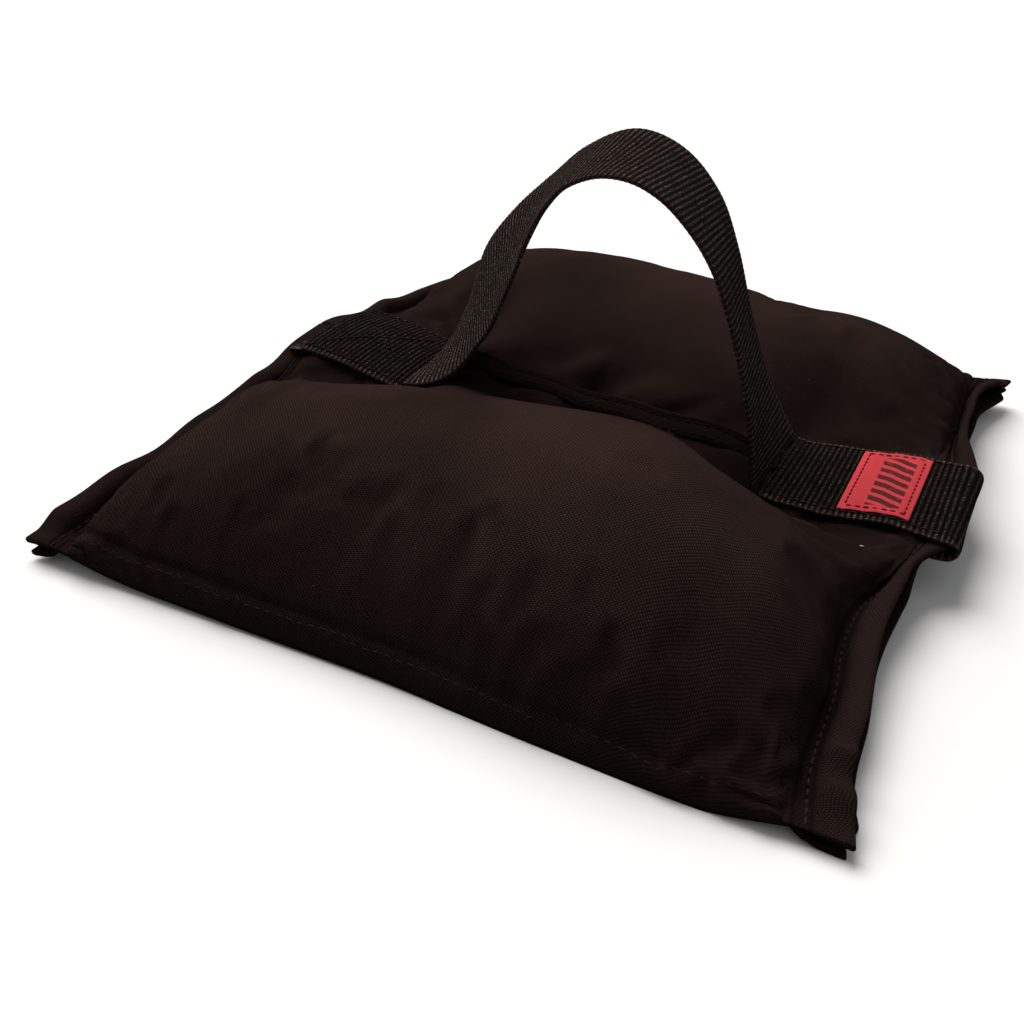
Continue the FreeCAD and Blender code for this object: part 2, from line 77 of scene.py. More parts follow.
# Places that come from the frame.
EDGE = cad("back_top_panel", 1, 0)              # outer edge of the side flanges
HEM = cad("back_bottom_panel", 1, 1)            # outer edge of the hems
SEAM_LEVEL = cad("centre_top_strip", 0, 2)
STRAP_HALF = cad("strap_right_anchor", 1, 1)
LEFT_FOOT = cad("strap_underside", 0, 0)
RIGHT_FOOT = cad("strap_underside", 1, 0)
CLOSING = EDGE - 12                             # the left side seam, and about the right one
CLOTH = cad("centre_top_strip", 1, 2) - SEAM_LEVEL
WEBBING = cad("strap_underside", 1, 2) - cad("strap_underside", 0, 2)


# ---------------------------------------------------------------------------------------------- curves

def spline(points):
    """A smooth curve through (place, value) pairs: cubic pieces with slopes taken from the points beside."""
    places, values = np.array(points, float).T
    slopes = np.gradient(values, places)

    def curve(at):
        at = np.clip(at, places[0], places[-1])
        i = np.clip(np.searchsorted(places, at) - 1, 0, len(places) - 2)
        gap = places[i + 1] - places[i]
        s = (at - places[i]) / gap
        return ((1 + 2 * s) * (1 - s) ** 2 * values[i] + s * (1 - s) ** 2 * gap * slopes[i]
                + s * s * (3 - 2 * s) * values[i + 1] + s * s * (s - 1) * gap * slopes[i + 1])
    return curve


def bump(at, place, width):
    """A bell of height 1 at a place."""
    return np.exp(-((at - place) / width) ** 2)


def smooth_step(at, low, high):
    s = np.clip((at - low) / (high - low), 0, 1)
    return s * s * (3 - 2 * s)


# Heights along the seam between the pouches, on the hems and at the side seams, in millimetres.
VALLEY = spline([(-113, 31.5), (-95, 29.5), (-80, 26.5), (-68, 25), (-58, 27.5), (-50, 28), (-35, 26.5),
                 (-19, 25.5), (-3, 23), (28, 22), (48, 21.5), (58, 19), (66, 17), (78, 17.3), (88, 17.8),
                 (96, 18.9), (104, 20), (113, 19.6)])
HEM_HEIGHT = {"front": spline([(-113, 7), (-95, 4), (-60, 2.5), (0, 1.8), (100, 2.4), (113, 5)]),
              "back": spline([(-113, 12), (-80, 4), (0, 2), (70, 4), (98, 8), (113, 10)])}
LEFT_SEAM = spline([(-150, 8.5), (-136, 11), (-122, 12.5), (-108, 13), (-86, 15), (-63, 18), (-38, 21.5),
                    (-25, 26), (-10, 29), (10, 29), (25, 27), (42, 24), (62, 22), (110, 19), (137, 17),
                    (150, 12)])
RIGHT_SEAM = spline([(-150, 6.5), (-140, 7.5), (-120, 8.5), (-95, 10.5), (-70, 12.5), (-55, 14), (-40, 16.5),
                     (-25, 18.5), (0, 20), (25, 21), (50, 21.5), (80, 19), (110, 16), (130, 14), (150, 13)])
CREST = {"front": spline([(-113, 13), (-106, 26), (-93, 38), (-76, 42), (-55, 44), (-34, 46), (-12, 50),
                          (10, 53), (30, 55), (50, 54.5), (66, 50.5), (80, 44), (92, 38), (104, 27),
                          (113, 14)]),
         "back": spline([(-113, 21), (-106, 31.5), (-95, 40.8), (-81, 45.5), (-60, 48.7), (-40, 49.8),
                         (-15, 48.3), (10, 46.5), (30, 43.8), (45, 42.8), (64, 43), (84, 38), (100, 29.5),
                         (108, 22.5), (113, 19)])}
CREST_PLACE = {"front": 86.0, "back": 86.0}
RISE = {"front": 0.85, "back": 0.7}
HEM_REACH = {"front": spline([(-113, -0.5), (-60, -1.5), (0, -2.2), (50, 0), (90, 0.8), (113, -0.4)]),
             "back": spline([(-113, 0), (0, -1), (113, 0)])}
# Where the filling starts, out from the valley; where the right closing seam lies; the flanges' widths.
FILL_START = spline([(-113, 27), (-80, 27), (-66, 20), (-48, 7), (-25, 4), (20, 4), (38, 6), (52, 15),
                     (66, 26), (80, 27), (113, 27)])
RIGHT_PLACE = spline([(-150, 110), (-142, 108.5), (-128, 107), (-104, 106.5), (-80, 103.5), (-62, 104.5),
                      (-46, 110), (-32, 113.5), (0, 113.5), (40, 113), (90, 111.5), (125, 110.5), (150, 112)])
RIGHT_FLANGE = spline([(-150, 15), (-143, 14.5), (-136, 13.5), (-127, 12), (-105, 11), (-80, 11), (-60, 9.5),
                       (-50, 6.5), (-40, 4.2), (-30, 5), (-22, 9.5), (0, 11), (30, 11.5), (44, 6), (60, 4),
                       (88, 4), (112, 4.6), (130, 7.8), (150, 12.5)])
LEFT_FLANGE = spline([(-150, 13.5), (-138, 12), (-120, 10.5), (-60, 9), (-30, 10), (30, 10), (60, 9),
                      (150, 10)])


def side_reach(x, y):
    """Distance of the side seam from the middle, on the side where x is."""
    return np.where(np.asarray(x) > 0, RIGHT_PLACE(y), CLOSING)


def arch(along, crest, power):
    """Rise of a filled pouch from 0 at its inner end to 1 at the crest and back to 0: an S-shaped slope on
    the inner side, where the sand ends, and a steep round one at the hem."""
    inner = np.clip(along / crest, 0, 1)
    outer = np.clip((along - crest) / (1 - crest), 0, 1)
    return np.where(along < crest, (0.5 - 0.5 * np.cos(np.pi * inner)) ** power, (1 - outer ** 2.5) ** 0.6)


def end_dense(count, strength=0.75):
    """Places from 0 to 1 that stand closer together near both ends."""
    even = np.linspace(0, 1, count)
    return (1 - strength) * even + strength * (0.5 - 0.5 * np.cos(np.pi * even))


def seam_plane(pouch, x, r):
    """Height of the plane between a pouch's layers: a Coons patch of the four edges' heights, that is both
    pairs of opposite edges blended across, less the corners they share."""
    side = SIDES[pouch]
    y = side * r
    reach = side_reach(x, y)
    across = 0.5 + 0.5 * x / reach
    out = r / HEM
    unit = x * CLOSING / reach
    plane = (1 - out) * VALLEY(unit) + out * HEM_HEIGHT[pouch](unit)
    for share, edge in ((1 - across, LEFT_SEAM), (across, RIGHT_SEAM)):
        plane = plane + share * (edge(y) - (1 - out) * edge(0.0) - out * edge(side * HEM))
    return plane


def pouch_heights(pouch, x, r):
    """Heights of the top and of the bottom layer: the top stands above the seam plane by the crest's height
    times the arch, and the belly drops until the floor flattens it."""
    unit = x * CLOSING / side_reach(x, SIDES[pouch] * r)
    start = FILL_START(unit)
    crest_place = CREST_PLACE[pouch]
    span = HEM - start
    rise = arch(np.clip((r - start) / span, 0, 1), (crest_place - start) / span, RISE[pouch])
    plane = seam_plane(pouch, x, r)
    crest_x = unit * side_reach(x, SIDES[pouch] * crest_place) / CLOSING
    top = plane + (CREST[pouch](unit) - seam_plane(pouch, crest_x, crest_place)) * rise
    full = rise * np.clip(1 - np.abs(unit / CLOSING) ** 6, 0, 1)
    bottom = np.maximum(plane - CLOTH - 1.08 * plane * (1 - np.exp(-(full / 0.3) ** 1.6)), 0)
    return top, bottom


def layer_grid(pouch, x, r, z):
    """Points of a layer; the hem's own reach along the seam stretches r a little."""
    reach = 1 + HEM_REACH[pouch](x) / HEM
    return np.stack([x, SIDES[pouch] * r * reach, z], axis=-1)


def pouch_layers(pouch, columns, rows):
    """Both layers of a pouch as grids, rows from the seam to the hem and columns from left to right."""
    across = end_dense(columns)[None, :]
    r = 0.6 + (HEM - 0.6) * end_dense(rows)[:, None] + 0 * across
    x = (2 * across - 1) * side_reach(across - 0.5, SIDES[pouch] * r)
    return [layer_grid(pouch, x, r, z) for z in pouch_heights(pouch, x, r)]


def inner_layers(pouch, columns, rows, inset):
    """Both layers of a bag inside a pouch, drawn in from the cover by an inset on every side."""
    across = end_dense(columns)[None, :]
    unit = (2 * across - 1) * (CLOSING - 2.5 * inset)
    start = FILL_START(unit) + 2 * inset
    r = start + (HEM - 1.5 * inset - start) * end_dense(rows)[:, None]
    x = unit * side_reach(unit, SIDES[pouch] * r) / CLOSING
    top, bottom = pouch_heights(pouch, x, r)
    middle = bottom + 0.4 * (top - bottom)
    beside = 3 * bump(r, 40, 20) * smooth_step(np.abs(unit), 62, 84)
    top = np.maximum(top - inset - 2 * bump(top - bottom, 0, 12) - beside, middle + 0.15)
    bottom = np.minimum(bottom + 0.6 * inset, middle - 0.15)
    return [layer_grid(pouch, x, r, z) for z in (top, bottom)]


def resampling(count_in, count_out, places_in, places_out):
    """Matrix that carries values on one row of places to another by cubic pieces."""
    basis = np.eye(count_in)
    columns = [spline(np.stack([places_in, basis[k]], axis=1))(places_out) for k in range(count_in)]
    return np.stack(columns, axis=1).reshape(count_out, count_in)


# ---------------------------------------------------------------------------------------------- meshes

def ring_faces(rings, points, closed=True):
    """Quads between neighbouring rings of a tube that has this many rings of this many points."""
    i, j = np.meshgrid(np.arange(rings - 1), np.arange(points if closed else points - 1), indexing="ij")
    step = (j + 1) % points
    a, b = i * points + j, i * points + step
    return np.stack([a, b, b + points, a + points], axis=-1).reshape(-1, 4)


def new_mesh(name, points, faces, material, uv=None, wear_and_shade=None):
    """A mesh object from points in millimetres. uv holds millimetres of cloth, and the last argument a share
    per point of wear and of painted light and shade.
    """
    mesh = bpy.data.meshes.new(name)
    places = np.asarray(points).reshape(-1, 3) / 1000
    mesh.from_pydata(places.tolist(), [], [list(map(int, f)) for f in faces])
    if uv is not None:
        index = np.zeros(len(mesh.loops), np.int32)
        mesh.loops.foreach_get("vertex_index", index)
        layer = mesh.uv_layers.new(name="Cloth")
        layer.data.foreach_set("uv", (uv.reshape(-1, 2)[index] / 1000).astype(np.float32).ravel())
    if wear_and_shade is not None:
        # Per point: wear on the covers' crests and edges, painted shade below zero in their creases, and
        # painted light and shade on the webbing's faces.
        attribute = mesh.attributes.new("wear_and_shade", "FLOAT", "POINT")
        attribute.data.foreach_set("value", wear_and_shade.astype(np.float32).ravel())
    mesh.validate()
    mesh.update()
    mesh.polygons.foreach_set("use_smooth", np.ones(len(mesh.polygons), bool))
    mesh.materials.append(material)
    obj = bpy.data.objects.new(name, mesh)
    bpy.context.scene.collection.objects.link(obj)
    return obj


def face_outwards(obj, whole=True):
    """Turn faces outwards: alike first if the mesh is one whole, then all over if its volume is negative."""
    work = bmesh.new()
    work.from_mesh(obj.data)
    if whole:
        bmesh.ops.recalc_face_normals(work, faces=work.faces)
    if work.calc_volume(signed=True) < 0:
        bmesh.ops.reverse_faces(work, faces=work.faces)
    work.to_mesh(obj.data)
    work.free()


def grid_normals(grid):
    """Unit normals of a grid of points, upwards where rows run outwards and columns run to the right."""
    down = np.gradient(grid, axis=0)
    over = np.gradient(grid, axis=1)
    normal = np.cross(over, down)
    normal /= np.linalg.norm(normal, axis=-1, keepdims=True) + 1e-9
    return normal * np.where(normal[..., 2:].mean() < 0, -1, 1)


# ---------------------------------------------------------------------------------------------- covers

SIM_COLUMNS, SIM_ROWS = 84, 54
COLUMNS, ROWS = 190, 124
MOVE_CAP = 5.0       # millimetres the simulation may move the cloth
SWELL = 0.2          # share of the simulation's broad swelling that is kept, beside all of its folds
SAND_GIVE = 0.8      # millimetres the sand lets the cloth sink in
SIM_FRAMES = 24
FOOT_FOLDS = {"front": 1.2, "back": 2.3}     # height of the folds at a pouch's foot, in millimetres


def cloth_relaxed(name, top, bottom, pressure, spare):
    """The top layer after a cloth simulation: both layers sewn along their edges, all but the top's inside
    held, the cloth cut a little larger than its place, and blown up from inside."""
    rows, columns = top.shape[:2]
    count = rows * columns
    edge = np.zeros((rows, columns), bool)
    edge[[0, -1], :] = True
    edge[:, [0, -1]] = True
    low_index = np.where(edge, np.arange(count).reshape(rows, columns), 0)
    low_index[~edge] = count + np.arange((~edge).sum())
    points = np.concatenate([top.reshape(-1, 3), bottom[~edge]])
    quads_top = ring_faces(rows, columns, closed=False)
    quads_low = low_index.ravel()[quads_top][:, ::-1]
    obj = new_mesh(name, points, np.concatenate([quads_top, quads_low]), None)
    face_outwards(obj)
    held = obj.vertex_groups.new(name="held")
    held.add(np.concatenate([np.flatnonzero(edge), np.arange(count, len(points))]).tolist(), 1.0, "REPLACE")
    cloth = obj.modifiers.new("Cloth", "CLOTH")
    settings = cloth.settings
    settings.quality = 6
    settings.mass = 0.3
    settings.tension_stiffness = settings.compression_stiffness = 12
    settings.shear_stiffness = 6
    settings.bending_stiffness = 0.4
    settings.vertex_group_mass = "held"
    settings.shrink_min = -spare
    settings.use_pressure = True
    settings.uniform_pressure_force = pressure
    settings.effector_weights.gravity = 0
    cloth.point_cache.frame_start, cloth.point_cache.frame_end = 1, SIM_FRAMES
    scene = bpy.context.scene
    for number in range(1, SIM_FRAMES + 1):
        scene.frame_set(number)
    done = obj.evaluated_get(bpy.context.evaluated_depsgraph_get()).to_mesh()
    co = np.zeros(len(done.vertices) * 3, np.float32)
    done.vertices.foreach_get("co", co)
    moved = co.reshape(-1, 3)[:count].astype(float).reshape(rows, columns, 3) * 1000
    scene.frame_set(1)
    mesh = obj.data
    bpy.data.objects.remove(obj)
    bpy.data.meshes.remove(mesh)
    shift = moved - top
    length = np.linalg.norm(shift, axis=-1, keepdims=True)
    return top + shift * np.minimum(1, MOVE_CAP / np.maximum(length, 1e-6))


def softened(field, passes):
    """A grid of values averaged with their neighbours, held at the edges, so that only broad shapes stay."""
    for _ in range(passes * 6):
        inner = (field[:-2, 1:-1] + field[2:, 1:-1] + field[1:-1, :-2] + field[1:-1, 2:]) / 4
        field = field.copy()
        field[1:-1, 1:-1] = 0.5 * field[1:-1, 1:-1] + 0.5 * inner
    return field


def seam_puckers(pouch, x, r, seam_x):
    """Small gathers along the side seams and beside the strap, strongest at the stitches."""
    right = np.clip(seam_x - x, 0, 60)
    left = np.clip(seam_x + x, 0, 60)
    strap = bump(r, 34, 16)
    wave = (0.55 * np.sin(r * 0.52 + 1.3 * np.sin(r * 0.13)) + 0.45 * np.sin(r * 0.83 + 2.1))
    ripple = 0.55 * wave * (np.exp(-right / 13) * (1 - np.exp(-right / 3)) * (1 + 1.3 * strap)
                            + 0.7 * np.exp(-left / 12) * (1 - np.exp(-left / 3)))
    fan = np.arctan2(r - 27, np.maximum(right, 0.5))
    radial = 0.9 * np.sin(fan * 9 + 0.8) * strap * np.exp(-right / 22) * (1 - np.exp(-right / 5))
    hem = np.clip(HEM - r, 0, 60)
    gather = 0.30 * np.sin(x * 0.33 + 1.6 * np.sin(x * 0.07)) * np.exp(-hem / 12) * (1 - np.exp(-hem / 3))
    foot_wave = np.sin(x * 0.16 - r * 0.09 + 1.2 * np.sin(x * 0.09 + 1))
    inner = FOOT_FOLDS[pouch] * foot_wave * bump(r, 15, 9) * bump(x, -8, 52)
    shoulder = sum(0.9 * bump(edge, 6, 3.5) for edge in (right, left))
    fold = 1.6 * bump(r - 0.45 * right, 40, 4) * np.exp(-right / 26) * (1 - np.exp(-right / 4))
    fold = fold + 1.2 * bump(r - 0.9 * right, 50, 4) * np.exp(-right / 30) * (1 - np.exp(-right / 4))
    return ripple + radial + gather + inner + shoulder + fold


@lru_cache(maxsize=None)
def cover_layers(pouch, pressure, spare):
    """Top and bottom layer of a pouch's cover on the fine grid, after the simulation and with its seams."""
    top, bottom = pouch_layers(pouch, COLUMNS, ROWS)
    coarse = pouch_layers(pouch, SIM_COLUMNS, SIM_ROWS)
    shift = cloth_relaxed(f"{pouch}_relax", *coarse, pressure, spare) - coarse[0]
    shift = shift - (1 - SWELL) * softened(shift, 5)
    inward = np.minimum((shift * grid_normals(coarse[0])).sum(-1, keepdims=True) + SAND_GIVE, 0)
    shift = shift - inward * grid_normals(coarse[0])
    down = resampling(SIM_ROWS, ROWS, end_dense(SIM_ROWS), end_dense(ROWS))
    over = resampling(SIM_COLUMNS, COLUMNS, end_dense(SIM_COLUMNS), end_dense(COLUMNS))
    top = top + np.einsum("ri,ijk,cj->rck", down, shift, over)
    normal = grid_normals(top)
    side = SIDES[pouch]
    r = side * top[..., 1]
    seam_x = side_reach(top[..., 0], top[..., 1])
    push = seam_puckers(pouch, top[..., 0], r, seam_x)
    from_hem = np.cumsum(np.linalg.norm(np.diff(top[::-1], axis=0, prepend=top[-1:]), axis=-1), axis=0)[::-1]
    fade = 1 - 0.75 * smooth_step(top[..., 0], 20, 100)
    push = push - fade * (1.0 * bump(from_hem, 9.5, 1.1) - 0.5 * bump(from_hem, 5.5, 2.6))
    from_side = np.clip(seam_x - np.abs(top[..., 0]), 0, 60)
    top = top + normal * (push * smooth_step(from_hem, 0, 2) * smooth_step(from_side, 0.3, 3))[..., None]
    top[..., 2] -= 1.8 * bump(from_side, 0, 2.2) * smooth_step(r, 26, 40)
    top[..., 2] = np.maximum(top[..., 2], bottom[..., 2] + CLOTH)
    return top, bottom


def flange_profile(pouch, y, right):
    """Outward and upward offsets, in millimetres, of a side flange's outline at each row, from the crease of
    the top layer, round the rolled edge of the upper layer, back into the gap, and round the lower layer."""
    width = (RIGHT_FLANGE if right else LEFT_FLANGE)(y)
    tab = smooth_step(np.abs(y), 138, 146)
    strap = 1 - smooth_step(np.abs(y), 26, 46)
    if right and pouch == "front":
        width = width - 0.7 * bump(y, -131, 4)
        buckle = 2.6 * bump(y, -127, 3.2) - 1.2 * bump(y, -133, 3.4)
    else:
        buckle = 0.5 * np.sin(y * 0.16 + 1.1) * (1 - strap)
    flat = np.maximum(tab, strap)
    rise = (3.6 * (1 - flat) + 0.3) + 0.3 * np.sin(y * 0.21)
    roll = 1.3 - 0.35 * flat
    gap = 1.7 * (1 - 0.85 * strap) + 0.25 * np.sin(y * 0.11 + 2)
    reach = 2.4 * (1 - 1.6 * flat)
    upper = [(0.0, 0.0, 0), (0.08, -0.35, 0), (0.24, -0.35, 0.1), (0.34, 0.05, 0.35), (0.46, 0.75, 0.8),
             (0.75, 0.95, 1.0), (0.93, 1.0, 1.0)]
    outline = [(share * (width - roll), level * rise + kink * buckle) for share, level, kink in upper]
    for turn in np.radians([60, 25, -10, -45, -80]):
        outline.append((width - roll + roll * np.cos(turn), rise - roll + buckle + roll * np.sin(turn)))
    back = [(0.8, 0.9), (0.5, 0.3), (0.2, 0.0)]
    outline += [(share * (width - roll), level * (rise + buckle) - 2 * roll * (0.35 + 0.65 * share))
                for share, level in back]
    drop = 2 * roll + gap
    lower = [(0.2, 0.45), (0.5, 0.75), (0.85, 1.0)]
    outer = width + reach
    outline += [(share * outer, -drop * depth) for share, depth in lower]
    for turn in np.radians([60, 20, -20, -60]):
        outline.append((outer - 0.9 + 0.9 * np.cos(turn), -drop - 0.9 + 0.9 * np.sin(turn)))
    under = [(0.85, 1.0), (0.5, 0.8), (0.2, 0.45)]
    outline += [(share * outer, -drop * depth - 1.8) for share, depth in under]
    out, up = (np.stack([part[k] + 0 * y for part in outline], axis=1) for k in (0, 1))
    return out, up


def flange_rows(pouch, edge, right):
    """Points of a side flange for each row of the pouch, laid out from the pouch's side seam."""
    y = edge[:, 1]
    out, up = flange_profile(pouch, y, right)
    droop = np.radians(spline([(-150, 0), (-110, -12), (-60, -9), (-26, -6), (0, -4), (26, -4), (60, -6),
                               (110, -2), (150, 7)])(y) if right else -2 + 0 * y)[:, None]
    sign = 1 if right else -1
    x = edge[:, :1] + sign * (out * np.cos(droop) - up * np.sin(droop))
    z = edge[:, 2:] + out * np.sin(droop) + up * np.cos(droop)
    level = np.maximum(z, 0.15 + 0.1 * np.arange(out.shape[1])[::-1][None, :] / out.shape[1])
    return np.stack([x, y[:, None] + 0 * x, level], axis=-1)


@lru_cache(maxsize=None)
def cover_rings(pouch, pressure, spare):
    """The cover as closed rings round the pouch: top from left to right, right flange, bottom, left flange.
    Gives the rings and the number of points across a flange."""
    top, bottom = cover_layers(pouch, pressure, spare)
    right = flange_rows(pouch, top[:, -1], True)
    left = flange_rows(pouch, top[:, 0], False)[:, ::-1]
    return np.concatenate([top, right[:, 1:], bottom[:, ::-1][:, 1:-1], left[:, :-1]], axis=1), right.shape[1]


def cloth_lengths(rings):
    """Millimetres of cloth round and along a tube of rings, for its weave."""
    around = np.cumsum(np.linalg.norm(np.diff(rings, axis=1, prepend=rings[:, :1]), axis=-1), axis=1)
    along = np.cumsum(np.linalg.norm(np.diff(rings, axis=0, prepend=rings[:1]), axis=-1), axis=0)
    around = around - around[:, COLUMNS // 2][:, None]
    return np.stack([around, along], axis=-1)


# Value at each point of a flange's outline: wear on the rolled edges above zero, and painted shade below zero
# in the crease by the stitches and in the gap between the two layers.
FLANGE_WEAR_AND_SHADE = np.array([-0.8, -0.5, -0.4, -0.7, 0.1, 0.3, 0.35,
                        0.35, 0.3, 0.2, 0.0, -0.6,
                        -0.9, -0.9, -0.9,
                        -0.9, -0.9, -0.4,
                        0.15, 0.2, 0.1, 0.0,
                        0.0, 0.0, 0.0])


def cover_wear_and_shade(rings):
    """Share of wear: high on the crests and on rolled edges, low in creases, from height and from roundness;
    below zero for painted shade, which darkens the creases beside the side seams and the flanges' creases and
    gap."""
    middle = rings - 0.5 * (np.roll(rings, 3, axis=1) + np.roll(rings, -3, axis=1))
    ridge = (middle * grid_normals(rings)).sum(-1)
    ridge = ridge * np.sign((middle * grid_normals(rings)).sum())
    height = smooth_step(rings[..., 2], 15, 54)
    wear_and_shade = np.clip(0.62 * height + 0.45 * np.clip(ridge, -1.5, 1.0), 0, 1)
    # Painted shade: the flanges' values below zero darken their creases and the gap between their layers.
    outline = FLANGE_WEAR_AND_SHADE[1:] + 0 * wear_and_shade[:, :1]
    wear_and_shade[:, COLUMNS:COLUMNS + outline.shape[1]] = outline
    wear_and_shade[:, -outline.shape[1]:] = outline[:, ::-1]
    # Painted shade in the top layer's crease beside each side seam.
    for near, share in enumerate((-0.8, -0.5, -0.2)):
        wear_and_shade[:, COLUMNS - 1 - near] = share
        wear_and_shade[:, near] = share
    return wear_and_shade


def make_cover(pouch, size, material):
    """One pouch's cover as a closed surface, its ends closed between the layers."""
    rings, flange = cover_rings(pouch, size.pressure, size.spare_cloth)
    rows, ring = rings.shape[:2]
    faces = [list(f) for f in ring_faces(rows, ring)]
    top = list(range(COLUMNS))
    right = list(range(COLUMNS, COLUMNS + flange - 1))
    low = list(range(COLUMNS + flange - 1, COLUMNS + flange - 1 + COLUMNS - 2))
    left = list(range(low[-1] + 1, ring))
    body = top[1:-1]
    pairs = list(zip(body, low[::-1]))
    for start in (0, (rows - 1) * ring):
        for (a, d), (b, c) in zip(pairs, pairs[1:]):
            faces.append([start + k for k in (a, b, c, d)])
        faces.append([start + k for k in [body[-1], top[-1], *right, low[0]]])
        faces.append([start + k for k in [low[-1], *left, top[0], body[0]]])
    obj = new_mesh(f"{pouch}_cover", rings, faces, material, cloth_lengths(rings), cover_wear_and_shade(rings))
    face_outwards(obj)
    return obj


def make_inner(pouch, name, inset, material):
    """A closed bag inside the cover: the same two layers, drawn in by an inset."""
    top, bottom = inner_layers(pouch, 72, 48, inset)
    rings = np.concatenate([top, bottom[:, ::-1]], axis=1)
    rows, ring = rings.shape[:2]
    faces = [list(f) for f in ring_faces(rows, ring)]
    for start in (0, (rows - 1) * ring):
        faces += [[start + k, start + k + 1, start + ring - 2 - k, start + ring - 1 - k]
                  for k in range(ring // 2 - 1)]
    obj = new_mesh(name, rings, faces, material)
    face_outwards(obj)
    return obj


# ---------------------------------------------------------------------------------------------- ribbons

def ribbon(name, path, sideways, normal, width, thick, material, across=24, relief=None, tone=0.0,
           crown=0.0):
    """A flat strip carried along a path: a thin rounded section, half across each way, at every point of it.

    relief gives the height of the weave for millimetres along and across, added to both faces; tone is
    painted light and shade on the faces, higher for lighter faces, and the edges are worn through; crown is
    how far the edges hang below the middle.
    """
    path, sideways, normal = (np.asarray(part, float) for part in (path, sideways, normal))
    count = len(path)
    run = np.concatenate([[0], np.cumsum(np.linalg.norm(np.diff(path, axis=0), axis=1))])
    share = np.linspace(-1, 1, across)
    edge = 1 - 0.35 * np.abs(share) ** 12
    place = np.concatenate([share, [1.015], share[::-1], [-1.015]])
    height = np.concatenate([edge, [0], -edge[::-1], [0]])
    half = np.broadcast_to(np.asarray(width, float) / 2, (count,))
    a = place[None, :] * half[:, None]
    b = height[None, :] * (thick / 2) * np.ones((count, 1))
    if relief is not None:
        rise = relief(run[:, None], a)
        b = b + rise * np.sign(height)[None, :]
        a = a + np.where(np.abs(place) > 1, np.sign(place), 0)[None, :] * rise * 0.8
    b = b - crown * np.sign(normal[:, 2:]) * place ** 2
    rings = path[:, None] + a[..., None] * sideways[:, None] + b[..., None] * normal[:, None]
    ring = rings.shape[1]
    faces = [list(f) for f in ring_faces(count, ring)]
    for start in (0, (count - 1) * ring):
        for k in range(across - 1):
            faces.append([start + k, start + k + 1, start + 2 * across - 1 - k, start + 2 * across - k])
        faces.append([start + across - 1, start + across, start + across + 1])
        faces.append([start + 2 * across, start + 2 * across + 1, start])
    uv = np.stack([run[:, None] + 0 * a, a + 60 * (height < 0)[None, :]], axis=-1)
    # Painted light and shade on the faces from tone, and wear where the edges are worn through.
    wear_and_shade = tone + (1 - tone) * smooth_step(np.abs(place), 0.93, 1.0)[None, :] + 0 * a
    obj = new_mesh(name, rings, faces, material, uv, wear_and_shade)
    face_outwards(obj)
    return obj


def path_frame(path, sideways):
    """Unit sideways and upward directions along a path, square to it."""
    tangent = np.gradient(path, axis=0)
    tangent /= np.linalg.norm(tangent, axis=1, keepdims=True)
    sideways = sideways - (sideways * tangent).sum(1, keepdims=True) * tangent
    sideways /= np.linalg.norm(sideways, axis=1, keepdims=True)
    return sideways, np.cross(tangent, sideways)


def even_path(points, step):
    """A smooth curve through points, given again at even distances along it."""
    points = np.asarray(points, float)
    knots = np.concatenate([[0], np.cumsum(np.linalg.norm(np.diff(points, axis=0), axis=1))])
    fine = np.linspace(0, knots[-1], 1200)
    dense = np.stack([spline(np.stack([knots, part], axis=1))(fine) for part in points.T], axis=1)
    run = np.concatenate([[0], np.cumsum(np.linalg.norm(np.diff(dense, axis=0), axis=1))])
    even = np.linspace(0, run[-1], max(int(run[-1] / step), 2) + 1)
    return np.stack([np.interp(even, run, part) for part in dense.T], axis=1)


def webbing_relief(pitch):
    """Height of the webbing's ribs, lower along the two sunk columns between its plain bands."""
    def relief(along, across):
        column = bump(across, -8.5, 4) + bump(across, 9.5, 4)
        return 0.06 * np.cos(2 * np.pi * along / pitch) * (1 - 0.55 * column) - 0.08 * column
    return relief


STITCH_SPOTS = np.radians(np.arange(0, 360, 60))


